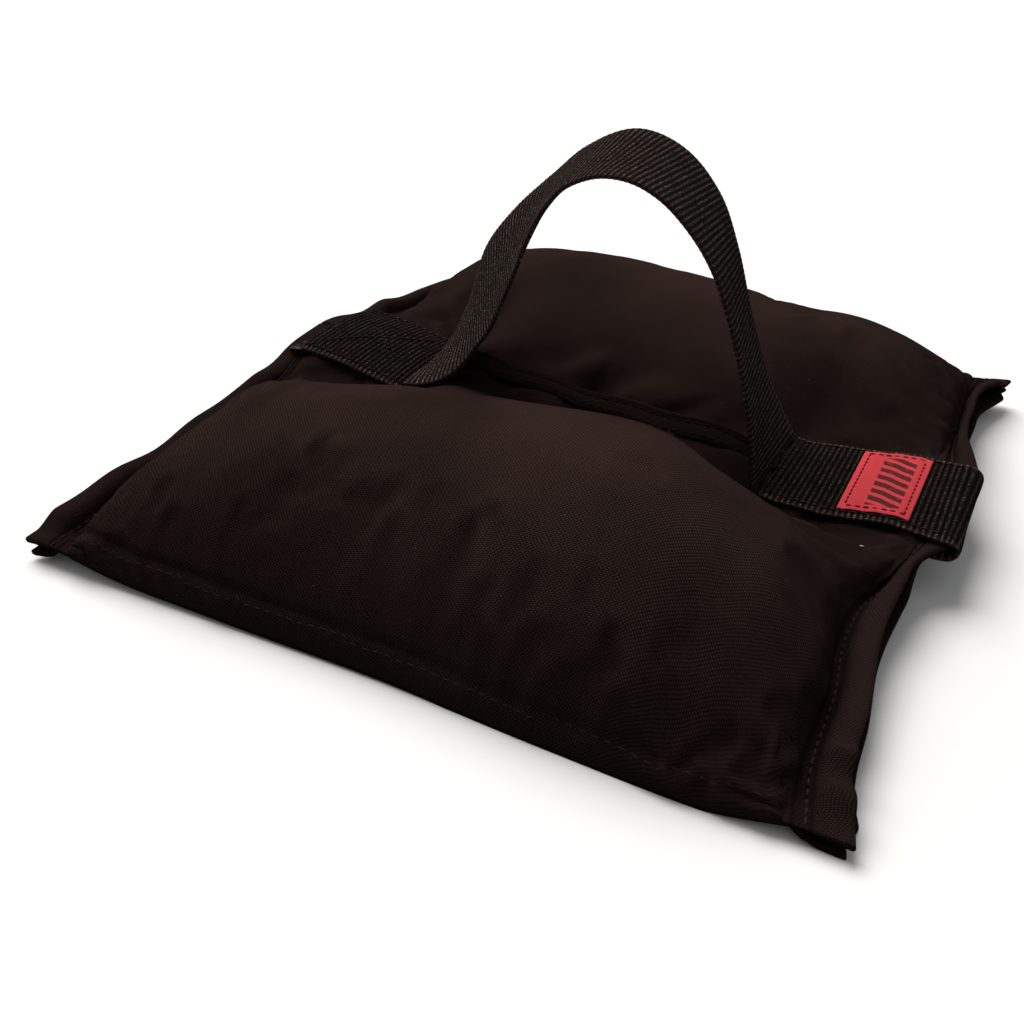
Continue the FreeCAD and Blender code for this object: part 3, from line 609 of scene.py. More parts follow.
def stitches(name, rows, length, pitch, width, height, material):
    """Rows of stitches as one mesh. A row is (points, normals): each stitch is a short six-sided tube whose
    middle stands proud and whose ends dip into the cloth."""
    along = np.array([-1.0, -0.86, -0.45, 0.0, 0.45, 0.86, 1.0])
    body = np.array([0.25, 0.8, 1.0, 1.0, 1.0, 0.8, 0.25])
    lift = 0.75 - 1.25 * np.abs(along) ** 3
    all_points, all_faces, base = [], [], 0
    tube = [list(f) for f in ring_faces(len(along), 6)]
    tube += [[5, 4, 3, 2, 1, 0], [len(along) * 6 - 6 + k for k in range(6)]]
    for points, normals in rows:
        run = np.concatenate([[0], np.cumsum(np.linalg.norm(np.diff(points, axis=0), axis=1))])
        starts = np.arange(pitch / 2, run[-1], pitch)
        if not len(starts):
            continue
        middle, up, ahead = (np.stack([np.interp(starts + shift, run, part[:, k]) for k in range(3)], axis=1)
                             for part, shift in ((points, 0), (normals, 0), (points, pitch * 0.4)))
        tangent = ahead - middle
        tangent /= np.linalg.norm(tangent, axis=1, keepdims=True) + 1e-9
        up = up - (up * tangent).sum(1, keepdims=True) * tangent
        up /= np.linalg.norm(up, axis=1, keepdims=True)
        sideways = np.cross(tangent, up)
        spot_x = (np.cos(STITCH_SPOTS)[None, :] * body[:, None] * width / 2)
        spot_z = (np.sin(STITCH_SPOTS)[None, :] * body[:, None] + lift[:, None]) * height / 2
        mesh = (middle[:, None, None]
                + (along * length / 2)[None, :, None, None] * tangent[:, None, None]
                + spot_x[None, ..., None] * sideways[:, None, None]
                + spot_z[None, ..., None] * up[:, None, None])
        each = len(along) * 6
        for k in range(len(starts)):
            all_faces += [[base + k * each + i for i in f] for f in tube]
        all_points.append(mesh.reshape(-1, 3))
        base += len(starts) * each
    obj = new_mesh(name, np.concatenate(all_points), all_faces, material)
    face_outwards(obj, whole=False)
    return obj


# ---------------------------------------------------------------------------------------------- strap

LEFT_END, RIGHT_END = 7.5 - EDGE, EDGE + 1.5
CROWN = {"left": 2.5, "right": 0.0}


def strap_top(x):
    """Height of the strap's lower face where it lies on the bag, over the valley's cloth."""
    return VALLEY(np.clip(x, -CLOSING, CLOSING)) + 0.5


def strap_below(x):
    """Height of the strap's middle where it runs underneath the bag."""
    return VALLEY(np.clip(x, -CLOSING, CLOSING)) - 2 * CLOTH - 1.0 - WEBBING / 2


def anchor_path(foot, end):
    """Middle line of a flat end of the strap, from its foot over the bag's edge to its foot underneath."""
    sign = 1 if end > 0 else -1
    x = np.linspace(foot, sign * (abs(end) - 4.5), 40)
    top = np.stack([x, strap_top(x) + WEBBING / 2], axis=1)
    low_x = x[::-1]
    under = np.stack([low_x, strap_below(low_x)], axis=1)
    drop = sign * np.array([3.2, 4.4, 4.4, 3.2])
    turn_x = sign * (abs(end) - 5.5) + drop
    turn_z = top[-1, 1] + (under[0, 1] - top[-1, 1]) * np.array([0.14, 0.36, 0.64, 0.86])
    turn = np.stack([turn_x, turn_z], axis=1)
    path = np.concatenate([top[:-1:3], turn, under[1::3]])
    return even_path(path, 0.5)


def near_side_drop(x):
    """How far the near edge of the strap hangs below its far edge, at its right end."""
    return 2.1 * smooth_step(x, 66, 86) + 2.2 * smooth_step(x, 104, 126)


def tilt_strap(path_xz, drop):
    """Points and sideways directions of a strap whose near edge hangs lower than its far edge."""
    path = np.stack([path_xz[:, 0], 0 * path_xz[:, 0], path_xz[:, 1]], axis=1)
    sideways = np.stack([0 * drop, 2 * STRAP_HALF + 0 * drop, drop], axis=1)
    sideways /= np.linalg.norm(sideways, axis=1, keepdims=True)
    return path, sideways


NEAR_EDGE = [(61, 20), (58, 38), (52, 58), (45, 75.7), (39, 87.5), (31, 97.3), (21.5, 105.2), (11, 109.6),
             (-1, 109.6), (-12, 104.8), (-19.3, 96), (-25, 83.5), (-30, 69), (-39, 48), (-50, 34), (-61, 28),
             (-70, 26)]
FAR_EDGE = [(62, 20), (53.3, 33), (46, 47), (39, 63.7), (32, 82.5), (22, 100.5), (8.5, 111.8), (-7.5, 115.6),
            (-25, 108.2), (-37.7, 97), (-49.7, 85.2), (-61.7, 68.6), (-67, 50), (-71.3, 36), (-72, 27.5)]


def handle_rails():
    """Near and far edge of the handle in space, matched at even shares of their lengths."""
    rails = []
    for outline, y in ((NEAR_EDGE, -1), (FAR_EDGE, 1)):
        flat = even_path(outline, 0.25)
        share = np.linspace(0, 1, len(flat))
        rails.append((flat, share, y))
    even = np.linspace(0, 1, 480)
    points = []
    for flat, share, y in rails:
        x, z = (np.interp(even, share, flat[:, k]) for k in (0, 1))
        points.append(np.stack([x, y * (STRAP_HALF - 0.6) + 0 * x, z], axis=1))
    return points


# ---------------------------------------------------------------------------------------------- materials

class Tree:
    """Short calls that place and join the nodes of a material or a node group."""

    def __init__(self, tree):
        self.tree = tree

    def add(self, kind, **settings):
        made = self.tree.nodes.new(kind)
        for name, setting in settings.items():
            setattr(made, name, setting)
        return made

    def join(self, source, target):
        self.tree.links.new(source, target)

    def feed(self, socket, source):
        if isinstance(source, (int, float, tuple)):
            socket.default_value = source
        else:
            self.join(source, socket)

    def math(self, operation, *sources, clamp=False):
        made = self.add("ShaderNodeMath", operation=operation, use_clamp=clamp)
        for socket, source in zip(made.inputs, sources):
            self.feed(socket, source)
        return made.outputs[0]

    def noise(self, vector, scale, detail=2.0, rough=0.5):
        made = self.add("ShaderNodeTexNoise")
        self.feed(made.inputs["Vector"], vector)
        made.inputs["Scale"].default_value = scale
        made.inputs["Detail"].default_value = detail
        made.inputs["Roughness"].default_value = rough
        return made.outputs["Fac"]

    def ramp(self, value, low, high):
        made = self.add("ShaderNodeMapRange", interpolation_type="SMOOTHSTEP")
        self.feed(made.inputs["Value"], value)
        made.inputs["From Min"].default_value = low
        made.inputs["From Max"].default_value = high
        return made.outputs["Result"]

    def mix(self, share, first, second):
        made = self.add("ShaderNodeMix", data_type="RGBA")
        self.feed(made.inputs["Factor"], share)
        colour_a, colour_b = made.inputs[6], made.inputs[7]
        self.feed(colour_a, first)
        self.feed(colour_b, second)
        return made.outputs[2]

    def group(self, group, **inputs):
        made = self.add("ShaderNodeGroup", node_tree=group)
        for name, source in inputs.items():
            self.feed(made.inputs[name.replace("_", " ")], source)
        return made.outputs


def new_group(name, inputs, outputs):
    """An empty shader node group with named sockets, and its input and output nodes."""
    tree = bpy.data.node_groups.new(name, "ShaderNodeTree")
    for socket, kind in inputs.items():
        tree.interface.new_socket(socket, in_out="INPUT", socket_type=kind)
    for socket, kind in outputs.items():
        tree.interface.new_socket(socket, in_out="OUTPUT", socket_type=kind)
    nodes = Tree(tree)
    return nodes, nodes.add("NodeGroupInput").outputs, nodes.add("NodeGroupOutput").inputs


@lru_cache(maxsize=None)
def weave_group():
    """Plain weave: warp and weft threads pass over each other in turn. Height is the thread on top."""
    nodes, given, result = new_group(
        "Plain weave", {"Vector": "NodeSocketVector", "Pitch": "NodeSocketFloat"},
        {"Height": "NodeSocketFloat", "Gap": "NodeSocketFloat", "Warp": "NodeSocketFloat"})
    split = nodes.add("ShaderNodeSeparateXYZ")
    nodes.join(given["Vector"], split.inputs[0])
    over, down = (nodes.math("DIVIDE", split.outputs[k], given["Pitch"]) for k in (0, 1))
    crowns = [nodes.math("ABSOLUTE", nodes.math("SINE", nodes.math("MULTIPLY", part, math.pi)))
              for part in (over, down)]
    parity = nodes.math("ADD", nodes.math("FLOOR", over), nodes.math("FLOOR", down))
    odd = nodes.math("FLOORED_MODULO", parity, 2.0)
    along = [nodes.math("MULTIPLY_ADD", crown, 0.5, 0.5) for crown in crowns]
    warp = nodes.math("MULTIPLY", crowns[0], along[1])
    weft = nodes.math("MULTIPLY", crowns[1], along[0])
    blend = nodes.add("ShaderNodeMix", data_type="FLOAT")
    nodes.join(odd, blend.inputs[0])
    nodes.join(warp, blend.inputs[2])
    nodes.join(weft, blend.inputs[3])
    nodes.join(blend.outputs[0], result["Height"])
    nodes.join(nodes.ramp(blend.outputs[0], 0.45, 0.05), result["Gap"])
    nodes.join(odd, result["Warp"])
    return nodes.tree


@lru_cache(maxsize=None)
def dust_group():
    """Lint and dust: a few small bright specks and a soft uneven veil."""
    nodes, given, result = new_group(
        "Dust and lint", {"Vector": "NodeSocketVector", "Amount": "NodeSocketFloat"},
        {"Specks": "NodeSocketFloat", "Veil": "NodeSocketFloat"})
    cells = nodes.add("ShaderNodeTexVoronoi", feature="F1")
    nodes.join(given["Vector"], cells.inputs["Vector"])
    cells.inputs["Scale"].default_value = 420
    chosen = nodes.add("ShaderNodeSeparateColor")
    nodes.join(cells.outputs["Color"], chosen.inputs[0])
    small = nodes.ramp(cells.outputs["Distance"], 0.10, 0.04)
    few = nodes.math("LESS_THAN", chosen.outputs[0], nodes.math("MULTIPLY", given["Amount"], 0.12))
    bright = nodes.math("MULTIPLY", small, few)
    nodes.join(nodes.math("MULTIPLY", bright, chosen.outputs[1]), result["Specks"])
    nodes.join(nodes.ramp(nodes.noise(given["Vector"], 26, 4.0, 0.6), 0.35, 0.75), result["Veil"])
    return nodes.tree


@lru_cache(maxsize=None)
def yarn_group():
    """Twisted yarn: slanting strands across each stitch."""
    nodes, given, result = new_group(
        "Yarn twist", {"Vector": "NodeSocketVector"}, {"Height": "NodeSocketFloat"})
    wave = nodes.add("ShaderNodeTexWave", wave_type="BANDS", bands_direction="DIAGONAL")
    nodes.join(given["Vector"], wave.inputs["Vector"])
    wave.inputs["Scale"].default_value = 900
    wave.inputs["Distortion"].default_value = 1.0
    nodes.join(wave.outputs["Fac"], result["Height"])
    return nodes.tree


def new_material(name):
    """A material with its Principled shader, and short calls for its nodes."""
    material = bpy.data.materials.new(name)
    material.use_nodes = True
    nodes = Tree(material.node_tree)
    shader = next(item for item in material.node_tree.nodes if item.type == "BSDF_PRINCIPLED")
    return material, nodes, shader


def finish_surface(nodes, shader, colour, rough, height, distance, strength=1.0):
    """Join the colour, the roughness and a bump to the shader."""
    nodes.feed(shader.inputs["Base Color"], colour)
    nodes.feed(shader.inputs["Roughness"], rough)
    raised = nodes.add("ShaderNodeBump")
    raised.inputs["Strength"].default_value = strength
    raised.inputs["Distance"].default_value = distance
    nodes.feed(raised.inputs["Height"], height)
    nodes.join(raised.outputs[0], shader.inputs["Normal"])


def attribute(nodes, name):
    return nodes.add("ShaderNodeAttribute", attribute_name=name).outputs["Fac"]


# Near black for the gaps of the weave, and for painted shade in the covers' creases.
GAP_AND_SHADE_BLACK = (0.0006, 0.0004, 0.0004, 1)
LINT_GREY = (0.07, 0.056, 0.050, 1)
YARN_PITCH = 0.0009          # metres between the warp yarns of the webbing
SUNK_COLUMNS = (-0.0085, 0.0095)     # metres from the webbing's middle to its two sunk columns


@lru_cache(maxsize=None)
def cover_material():
    """Brown-black nylon: a fine plain weave, paler on the worn crests, with lint, and painted shade darkening
    its creases.
    """
    size = bpy.context.scene.sandbag_cover
    material, nodes, shader = new_material("cover_nylon")
    coords = nodes.add("ShaderNodeTexCoord").outputs
    weave = nodes.group(weave_group(), Vector=coords["UV"], Pitch=size.weave_pitch)
    dust = nodes.group(dust_group(), Vector=coords["Object"], Amount=size.lint)
    patches = nodes.noise(coords["Object"], 14, 3.0, 0.55)
    fine = nodes.noise(coords["Object"], 900, 2.0, 0.6)
    warp = nodes.math("MULTIPLY_ADD", weave["Warp"], 0.8, 0.6)
    worn = nodes.math("MULTIPLY", attribute(nodes, "wear_and_shade"), nodes.ramp(patches, 0.25, 0.75), clamp=True)
    dark, pale = tuple(size.dark_colour) + (1,), tuple(size.pale_colour) + (1,)
    colour = nodes.mix(nodes.math("MULTIPLY_ADD", worn, 0.75, nodes.math("MULTIPLY", fine, 0.3)), dark, pale)
    tinted = nodes.add("ShaderNodeVectorMath", operation="SCALE")
    nodes.join(colour, tinted.inputs[0])
    nodes.join(warp, tinted.inputs["Scale"])
    colour = nodes.mix(nodes.math("MULTIPLY", weave["Gap"], 0.75), tinted.outputs[0], GAP_AND_SHADE_BLACK)
    # Painted shade: values below zero in the per-point attribute darken the creases and the flanges' gap to
    # near black.
    colour = nodes.mix(nodes.ramp(attribute(nodes, "wear_and_shade"), -0.05, -1.1), colour, GAP_AND_SHADE_BLACK)
    colour = nodes.mix(nodes.math("MULTIPLY", dust["Veil"], 0.12), colour, (0.014, 0.009, 0.008, 1))
    colour = nodes.mix(nodes.math("MULTIPLY", dust["Specks"], 0.6), colour, LINT_GREY)
    rough = nodes.math("MULTIPLY_ADD", patches, 0.16, 0.66)
    shader.inputs["Specular IOR Level"].default_value = 0.0
    shader.inputs["Sheen Weight"].default_value = 0.004
    shader.inputs["Sheen Roughness"].default_value = 0.55
    shader.inputs["Sheen Tint"].default_value = (0.75, 0.55, 0.48, 1)
    height = nodes.math("MULTIPLY_ADD", fine, 0.35, weave["Height"])
    finish_surface(nodes, shader, colour, rough, height, 0.00018, 0.85)
    return material


@lru_cache(maxsize=None)
def webbing_material():
    """Olive-black webbing: cross ribs of fine yarns, two sunk darker columns, frayed reddish edges, painted
    highlights on the ribs, and painted light and shade on its faces.
    """
    size = bpy.context.scene.sandbag_strap
    material, nodes, shader = new_material("strap_webbing")
    coords = nodes.add("ShaderNodeTexCoord").outputs
    split = nodes.add("ShaderNodeSeparateXYZ")
    nodes.join(coords["UV"], split.inputs[0])
    along, across = split.outputs[0], split.outputs[1]
    folded = nodes.math("SUBTRACT", across, nodes.math("MULTIPLY", nodes.math(
        "GREATER_THAN", across, STRAP_HALF / 1000 + 0.003), 0.06))
    beside = [nodes.math("ABSOLUTE", nodes.math("SUBTRACT", folded, column)) for column in SUNK_COLUMNS]
    columns = nodes.math("MAXIMUM", *(nodes.ramp(away, 0.006, 0.003) for away in beside))
    phase = nodes.math("MULTIPLY", along, 2 * math.pi / size.rib_pitch)
    ribs = nodes.math("MULTIPLY_ADD", nodes.math("COSINE", phase), 0.5, 0.5)
    turn = nodes.math("MULTIPLY", folded, 2 * math.pi / YARN_PITCH)
    yarn = nodes.math("MULTIPLY_ADD", nodes.math("SINE", turn), 0.5, 0.5)
    fine = nodes.noise(coords["UV"], 1400, 2.0, 0.7)
    dust = nodes.group(dust_group(), Vector=coords["Object"], Amount=0.8)
    wear_and_shade = attribute(nodes, "wear_and_shade")
    grain = nodes.math("MULTIPLY_ADD", fine, 1.5, 0.1)
    weft = nodes.math("MULTIPLY", nodes.math("POWER", ribs, 1.2), nodes.math("MULTIPLY_ADD", yarn, 0.7, 0.3))
    beads = nodes.math("MULTIPLY", weft, grain, clamp=True)
    # Painted highlight: bright dashes on the ribs stand in for glints of light on the yarns.
    painted_glint = nodes.math("MULTIPLY", nodes.ramp(weft, 0.35, 0.8), nodes.ramp(fine, 0.50, 0.64))
    dark, pale = tuple(size.dark_colour) + (1,), tuple(size.pale_colour) + (1,)
    colour = nodes.mix(beads, dark, pale)
    colour = nodes.mix(nodes.math("MULTIPLY", columns, 0.35), colour, (0.0024, 0.0016, 0.0014, 1))
    # Painted highlight colour, mixed in where the glint mask is high.
    colour = nodes.mix(nodes.math("MULTIPLY", painted_glint, 0.85), colour, (0.120, 0.096, 0.084, 1))
    # Painted light and shade: the colour is scaled by the per-point value, so the flat ends show at half
    # brightness, the handle about full, and the worn edges paler.
    painted_light_and_wear = nodes.add("ShaderNodeVectorMath", operation="SCALE")
    nodes.join(colour, painted_light_and_wear.inputs[0])
    nodes.join(nodes.math("MULTIPLY_ADD", wear_and_shade, 1.2, 0.5), painted_light_and_wear.inputs["Scale"])
    frayed = nodes.math("MULTIPLY", nodes.ramp(wear_and_shade, 0.7, 1.0), nodes.ramp(fine, 0.35, 0.65))
    colour = nodes.mix(nodes.math("MULTIPLY", frayed, 0.45), painted_light_and_wear.outputs[0], (0.03, 0.014, 0.011, 1))
    colour = nodes.mix(nodes.math("MULTIPLY", dust["Specks"], 0.5), colour, LINT_GREY)
    shader.inputs["Specular IOR Level"].default_value = 0.0
    shader.inputs["Sheen Weight"].default_value = 0.004
    shader.inputs["Sheen Roughness"].default_value = 0.4
    height = nodes.math("MULTIPLY_ADD", yarn, 0.4, nodes.math("MULTIPLY", fine, 0.6))
    height = nodes.math("ADD", beads, height)
    finish_surface(nodes, shader, colour, 0.55, height, 0.00022, 0.9)
    return material


def yarn_material(name, colour, rough):
    """Sewing thread: twisted yarn in one dye, a little uneven."""
    material, nodes, shader = new_material(name)
    coords = nodes.add("ShaderNodeTexCoord").outputs
    twist = nodes.group(yarn_group(), Vector=coords["Object"])["Height"]
    uneven = nodes.noise(coords["Object"], 160, 2.0)
    pale = tuple(min(1.0, 1.6 * part) for part in colour) + (1,)
    mixed = nodes.mix(nodes.math("MULTIPLY", uneven, nodes.math("MULTIPLY_ADD", twist, 0.6, 0.4)),
                      tuple(colour) + (1,), pale)
    shader.inputs["Specular IOR Level"].default_value = 0.0
    finish_surface(nodes, shader, mixed, rough, twist, 0.00008)
    return material


@lru_cache(maxsize=None)
def thread_material():
    return yarn_material("sewing_thread", (0.0095, 0.0070, 0.0061), 0.9)


@lru_cache(maxsize=None)
def label_thread_material():
    return yarn_material("label_thread", (0.060, 0.004, 0.005), 0.7)


BAR_PITCH = 0.0052           # metres between the bars woven into the label


@lru_cache(maxsize=None)
def label_material():
    """Red woven label: a fine weave and a plain pattern of dark bars in a frame, with a paler hem."""
    size = bpy.context.scene.sandbag_label
    material, nodes, shader = new_material("label_weave")
    coords = nodes.add("ShaderNodeTexCoord").outputs
    weave = nodes.group(weave_group(), Vector=coords["UV"], Pitch=0.00034)
    split = nodes.add("ShaderNodeSeparateXYZ")
    nodes.join(coords["UV"], split.inputs[0])
    along, across = split.outputs[0], split.outputs[1]
    inside_x = nodes.math("MULTIPLY", nodes.ramp(along, 0.0074, 0.0078), nodes.ramp(along, 0.0184, 0.0180))
    inside_y = nodes.ramp(nodes.math("ABSOLUTE", across), 0.0178, 0.0174)
    inside = nodes.math("MULTIPLY", inside_x, inside_y)
    slant = nodes.math("MULTIPLY_ADD", along, 0.55, across)
    turn = nodes.math("MULTIPLY", slant, math.pi / BAR_PITCH)
    bars = nodes.ramp(nodes.math("ABSOLUTE", nodes.math("SINE", turn)), 0.55, 0.66)
    soft = nodes.noise(coords["UV"], 240, 3.0)
    hem = nodes.ramp(along, 0.0030, 0.0024)
    red = tuple(size.colour) + (1,)
    deep_red = tuple(0.6 * part for part in size.colour) + (1,)
    colour = nodes.mix(nodes.math("MULTIPLY", soft, 0.2), red, deep_red)
    colour = nodes.mix(nodes.math("MULTIPLY", hem, 0.3), colour, (0.40, 0.038, 0.048, 1))
    print_mask = nodes.math("MULTIPLY", nodes.math("MULTIPLY", bars, inside), nodes.ramp(soft, 0.2, 0.4))
    colour = nodes.mix(nodes.math("MULTIPLY", print_mask, 0.88), colour, (0.012, 0.006, 0.005, 1))
    colour = nodes.mix(nodes.math("MULTIPLY", weave["Gap"], 0.35), colour, (0.03, 0.002, 0.002, 1))
    shader.inputs["Specular IOR Level"].default_value = 0.0
    shader.inputs["Sheen Weight"].default_value = 0.02
    finish_surface(nodes, shader, colour, 0.7, weave["Height"], 0.00012)
    return material


@lru_cache(maxsize=None)
def liner_material():
    """Milky vinyl film of the sealed inner bag."""
    material, nodes, shader = new_material("liner_vinyl")
    coords = nodes.add("ShaderNodeTexCoord").outputs
    soft = nodes.noise(coords["Object"], 60, 4.0)
    colour = nodes.mix(soft, (0.42, 0.42, 0.40, 1), (0.58, 0.57, 0.52, 1))
    finish_surface(nodes, shader, colour, nodes.math("MULTIPLY_ADD", soft, 0.2, 0.25), soft, 0.0006, 0.4)
    return material


@lru_cache(maxsize=None)
def sand_material():
    """Dry sand: fine grains in several browns."""
    material, nodes, shader = new_material("filling_sand")
    coords = nodes.add("ShaderNodeTexCoord").outputs
    grains = nodes.add("ShaderNodeTexVoronoi", feature="F1")
    nodes.join(coords["Object"], grains.inputs["Vector"])
    grains.inputs["Scale"].default_value = 1500
    tone = nodes.add("ShaderNodeSeparateColor")
    nodes.join(grains.outputs["Color"], tone.inputs[0])
    colour = nodes.mix(tone.outputs[0], (0.25, 0.17, 0.09, 1), (0.52, 0.42, 0.27, 1))
    finish_surface(nodes, shader, colour, 0.9, grains.outputs["Distance"], 0.0004)
    return material


# ---------------------------------------------------------------------------------------------- settings

def length_property(name, description, default):
    return bpy.props.FloatProperty(name=name, description=description, default=default, unit="LENGTH",
                                   precision=5)


def plain_property(name, description, default):
    return bpy.props.FloatProperty(name=name, description=description, default=default)


def colour_property(name, description, default):
    return bpy.props.FloatVectorProperty(name=name, description=description, default=default, subtype="COLOR",
                                         size=3, min=0, max=1)


class CoverSettings(bpy.types.PropertyGroup):
    weave_pitch: length_property("Thread pitch", "Distance between the threads of the cover", 0.00058)
    lint: bpy.props.FloatProperty(name="Lint", description="Share of lint specks on the cloth", default=0.6,
                                  subtype="FACTOR", min=0, max=1)
    pressure: plain_property("Pressure", "How hard the filling pushes", 4.0)
    spare_cloth: bpy.props.FloatProperty(name="Spare cloth", description="How much larger the cloth is cut",
                                         default=0.03, subtype="FACTOR", min=0, max=0.2)
    dark_colour: colour_property("Dark colour", "Cloth in creases", (0.0036, 0.0024, 0.0019))
    pale_colour: colour_property("Pale colour", "Cloth where it is worn", (0.0218, 0.0122, 0.0108))


class StrapSettings(bpy.types.PropertyGroup):
    rib_pitch: length_property("Rib pitch", "Distance between the ribs of the webbing", 0.0019)
    dark_colour: colour_property("Dark colour", "Webbing between the ribs", (0.0026, 0.0018, 0.0015))
    pale_colour: colour_property("Pale colour", "Webbing on the ribs", (0.0170, 0.0122, 0.0102))


class LabelSettings(bpy.types.PropertyGroup):
    colour: colour_property("Colour", "Ground of the woven label", (0.27, 0.024, 0.029))


class StageSettings(bpy.types.PropertyGroup):
    focal_length: plain_property("Focal length", "Lens in millimetres", 40.36)
    key_light: plain_property("Key light", "Strength from the back and left", 10.0)
    fill_light: plain_property("Fill light", "Strength from the front", 0.8)
    sky_light: plain_property("Sky light", "Strength from all around", 0.45)


# ---------------------------------------------------------------------------------------------- operators

def blend_to_pouch(obj):
    """Keep a piece where it stands: bake its transform into its mesh. It is not bent between the centre and a
    pouch.
    """
    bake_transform(obj)


class SANDBAG_OT_covers(bpy.types.Operator):
    """Make the woven covers of both pouches"""
    bl_idname = "sandbag.covers"
    bl_label = "Pouch covers"

    def execute(self, context):
        for pouch in SIDES:
            cover = make_cover(pouch, context.scene.sandbag_cover, cover_material())
            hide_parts(f"{pouch}_top_panel", f"{pouch}_bottom_panel")
            if pouch == "back":
                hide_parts("centre_top_strip", "centre_bottom_strip")
            blend_to_pouch(cover)
        return {"FINISHED"}


class SANDBAG_OT_filling(bpy.types.Operator):
    """Make the sealed liner and the sand inside both pouches"""
    bl_idname = "sandbag.filling"
    bl_label = "Liners and sand"

    def execute(self, context):
        for pouch in SIDES:
            for kind, inset, material, slot in (("liner", 3.2, liner_material(), "liner_film"),
                                                ("sand", 5.0, sand_material(), "sand")):
                piece = make_inner(pouch, f"{pouch}_{kind}_fill", inset, material)
                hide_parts(f"{pouch}_{kind}")
                blend_to_pouch(piece)
        return {"FINISHED"}


def lap_middle():
    """Middle line of the lapped seam: along the valley, wavering a little, and the directions across it."""
    x = np.linspace(LEFT_FOOT + 2, RIGHT_FOOT - 1, 160)
    y = 1.2 + 1.1 * np.sin(x * 0.085 + 0.6) + 0.5 * np.sin(x * 0.21)
    z = VALLEY(x) + 1.9 + 0.35 * np.sin(x * 0.19 + 1)
    path = np.stack([x, y, z], axis=1)
    lean = np.radians(18 + 10 * np.sin(x * 0.06))
    sideways = np.stack([0 * x, np.cos(lean), np.sin(lean)], axis=1)
    return path, *path_frame(path, sideways)


class SANDBAG_OT_lap_seam(bpy.types.Operator):
    """Make the lapped seam between the pouches"""
    bl_idname = "sandbag.lap_seam"
    bl_label = "Lapped seam"

    def execute(self, context):
        path, sideways, normal = lap_middle()
        lap = ribbon("centre_lap_fold", path, sideways, normal, 9.0, 2.2, cover_material(), across=14,
                     relief=lambda along, across: 0.35 * bump(across, 3.6, 1.0) - 0.3 * bump(across, 1.8, 0.7)
                     - 0.25 * bump(across, -3.0, 0.7))
        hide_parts("centre_lap_seam")
        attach(lap, "centre")
        return {"FINISHED"}


class SANDBAG_OT_strap(bpy.types.Operator):
    """Make the webbing: two flat ends, the run underneath and the handle"""
    bl_idname = "sandbag.strap"
    bl_label = "Strap and handle"

    def execute(self, context):
        size = context.scene.sandbag_strap
        relief = webbing_relief(size.rib_pitch * 1000)
        material = webbing_material()
        for name, foot, end in (("left", LEFT_FOOT, LEFT_END), ("right", RIGHT_FOOT, RIGHT_END)):
            flat = anchor_path(foot, end)
            path, sideways = tilt_strap(flat, near_side_drop(flat[:, 0]))
            piece = ribbon(f"strap_{name}_end", path, *path_frame(path, sideways), 2 * STRAP_HALF, WEBBING,
                           material, relief=relief, crown=CROWN[name])
            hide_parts(f"strap_{name}_anchor")
            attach(piece, "centre")
        x = np.linspace(LEFT_FOOT + 0.3, RIGHT_FOOT - 0.3, 270)
        path = np.stack([x, 0 * x, strap_below(x)], axis=1)
        under = ribbon("strap_under_run", path, *path_frame(path, np.tile([0.0, 1.0, 0.0], (len(x), 1))),
                       2 * STRAP_HALF, WEBBING, material, relief=relief)
        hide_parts("strap_underside")
        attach(under, "centre")

        near, far = handle_rails()
        middle = (near + far) / 2
        sideways, normal = path_frame(middle, far - near)
        width = np.linalg.norm(far - near, axis=1)
        # Painted light: the handle's faces get tone 0.45 and show about twice as light as the flat ends and
        # the run underneath, which keep 0.
        handle = ribbon("handle_loop", middle, sideways, normal, width, WEBBING, material, across=34,
                        relief=relief, tone=0.45)
        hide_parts("handle_webbing", "handle_feet")
        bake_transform(handle)
        return {"FINISHED"}


def strap_rows(flat, drop, crown, spots):
    """Lines along a flat strap: for each spot across it, points on its upper face and their normals."""
    path, sideways = tilt_strap(flat, drop)
    sideways, normal = path_frame(path, sideways)
    normal = normal * np.sign(normal[:1, 2:])
    return [(path + spot * sideways + normal * (WEBBING / 2 - crown * (spot / STRAP_HALF) ** 2), normal)
            for spot in spots]


LABEL_PLACES = (88.0, 110.0)
LABEL_HALF = STRAP_HALF - 3.5


def right_strap_surface(x, y):
    """A point on the upper face of the strap's right end and the normal there."""
    flat = anchor_path(RIGHT_FOOT, RIGHT_END)
    top = flat[: int(len(flat) * 0.46)]
    z = np.interp(x, top[:, 0], top[:, 1]) + WEBBING / 2 + y / (2 * STRAP_HALF) * near_side_drop(x)
    slope = np.gradient(top[:, 1], top[:, 0])
    lean = -near_side_drop(x) / (2 * STRAP_HALF)
    normal = np.stack([-np.interp(x, top[:, 0], slope), lean + 0 * x, 1 + 0 * x], axis=-1)
    return np.stack([x, y, z], axis=-1), normal / np.linalg.norm(normal, axis=-1, keepdims=True)


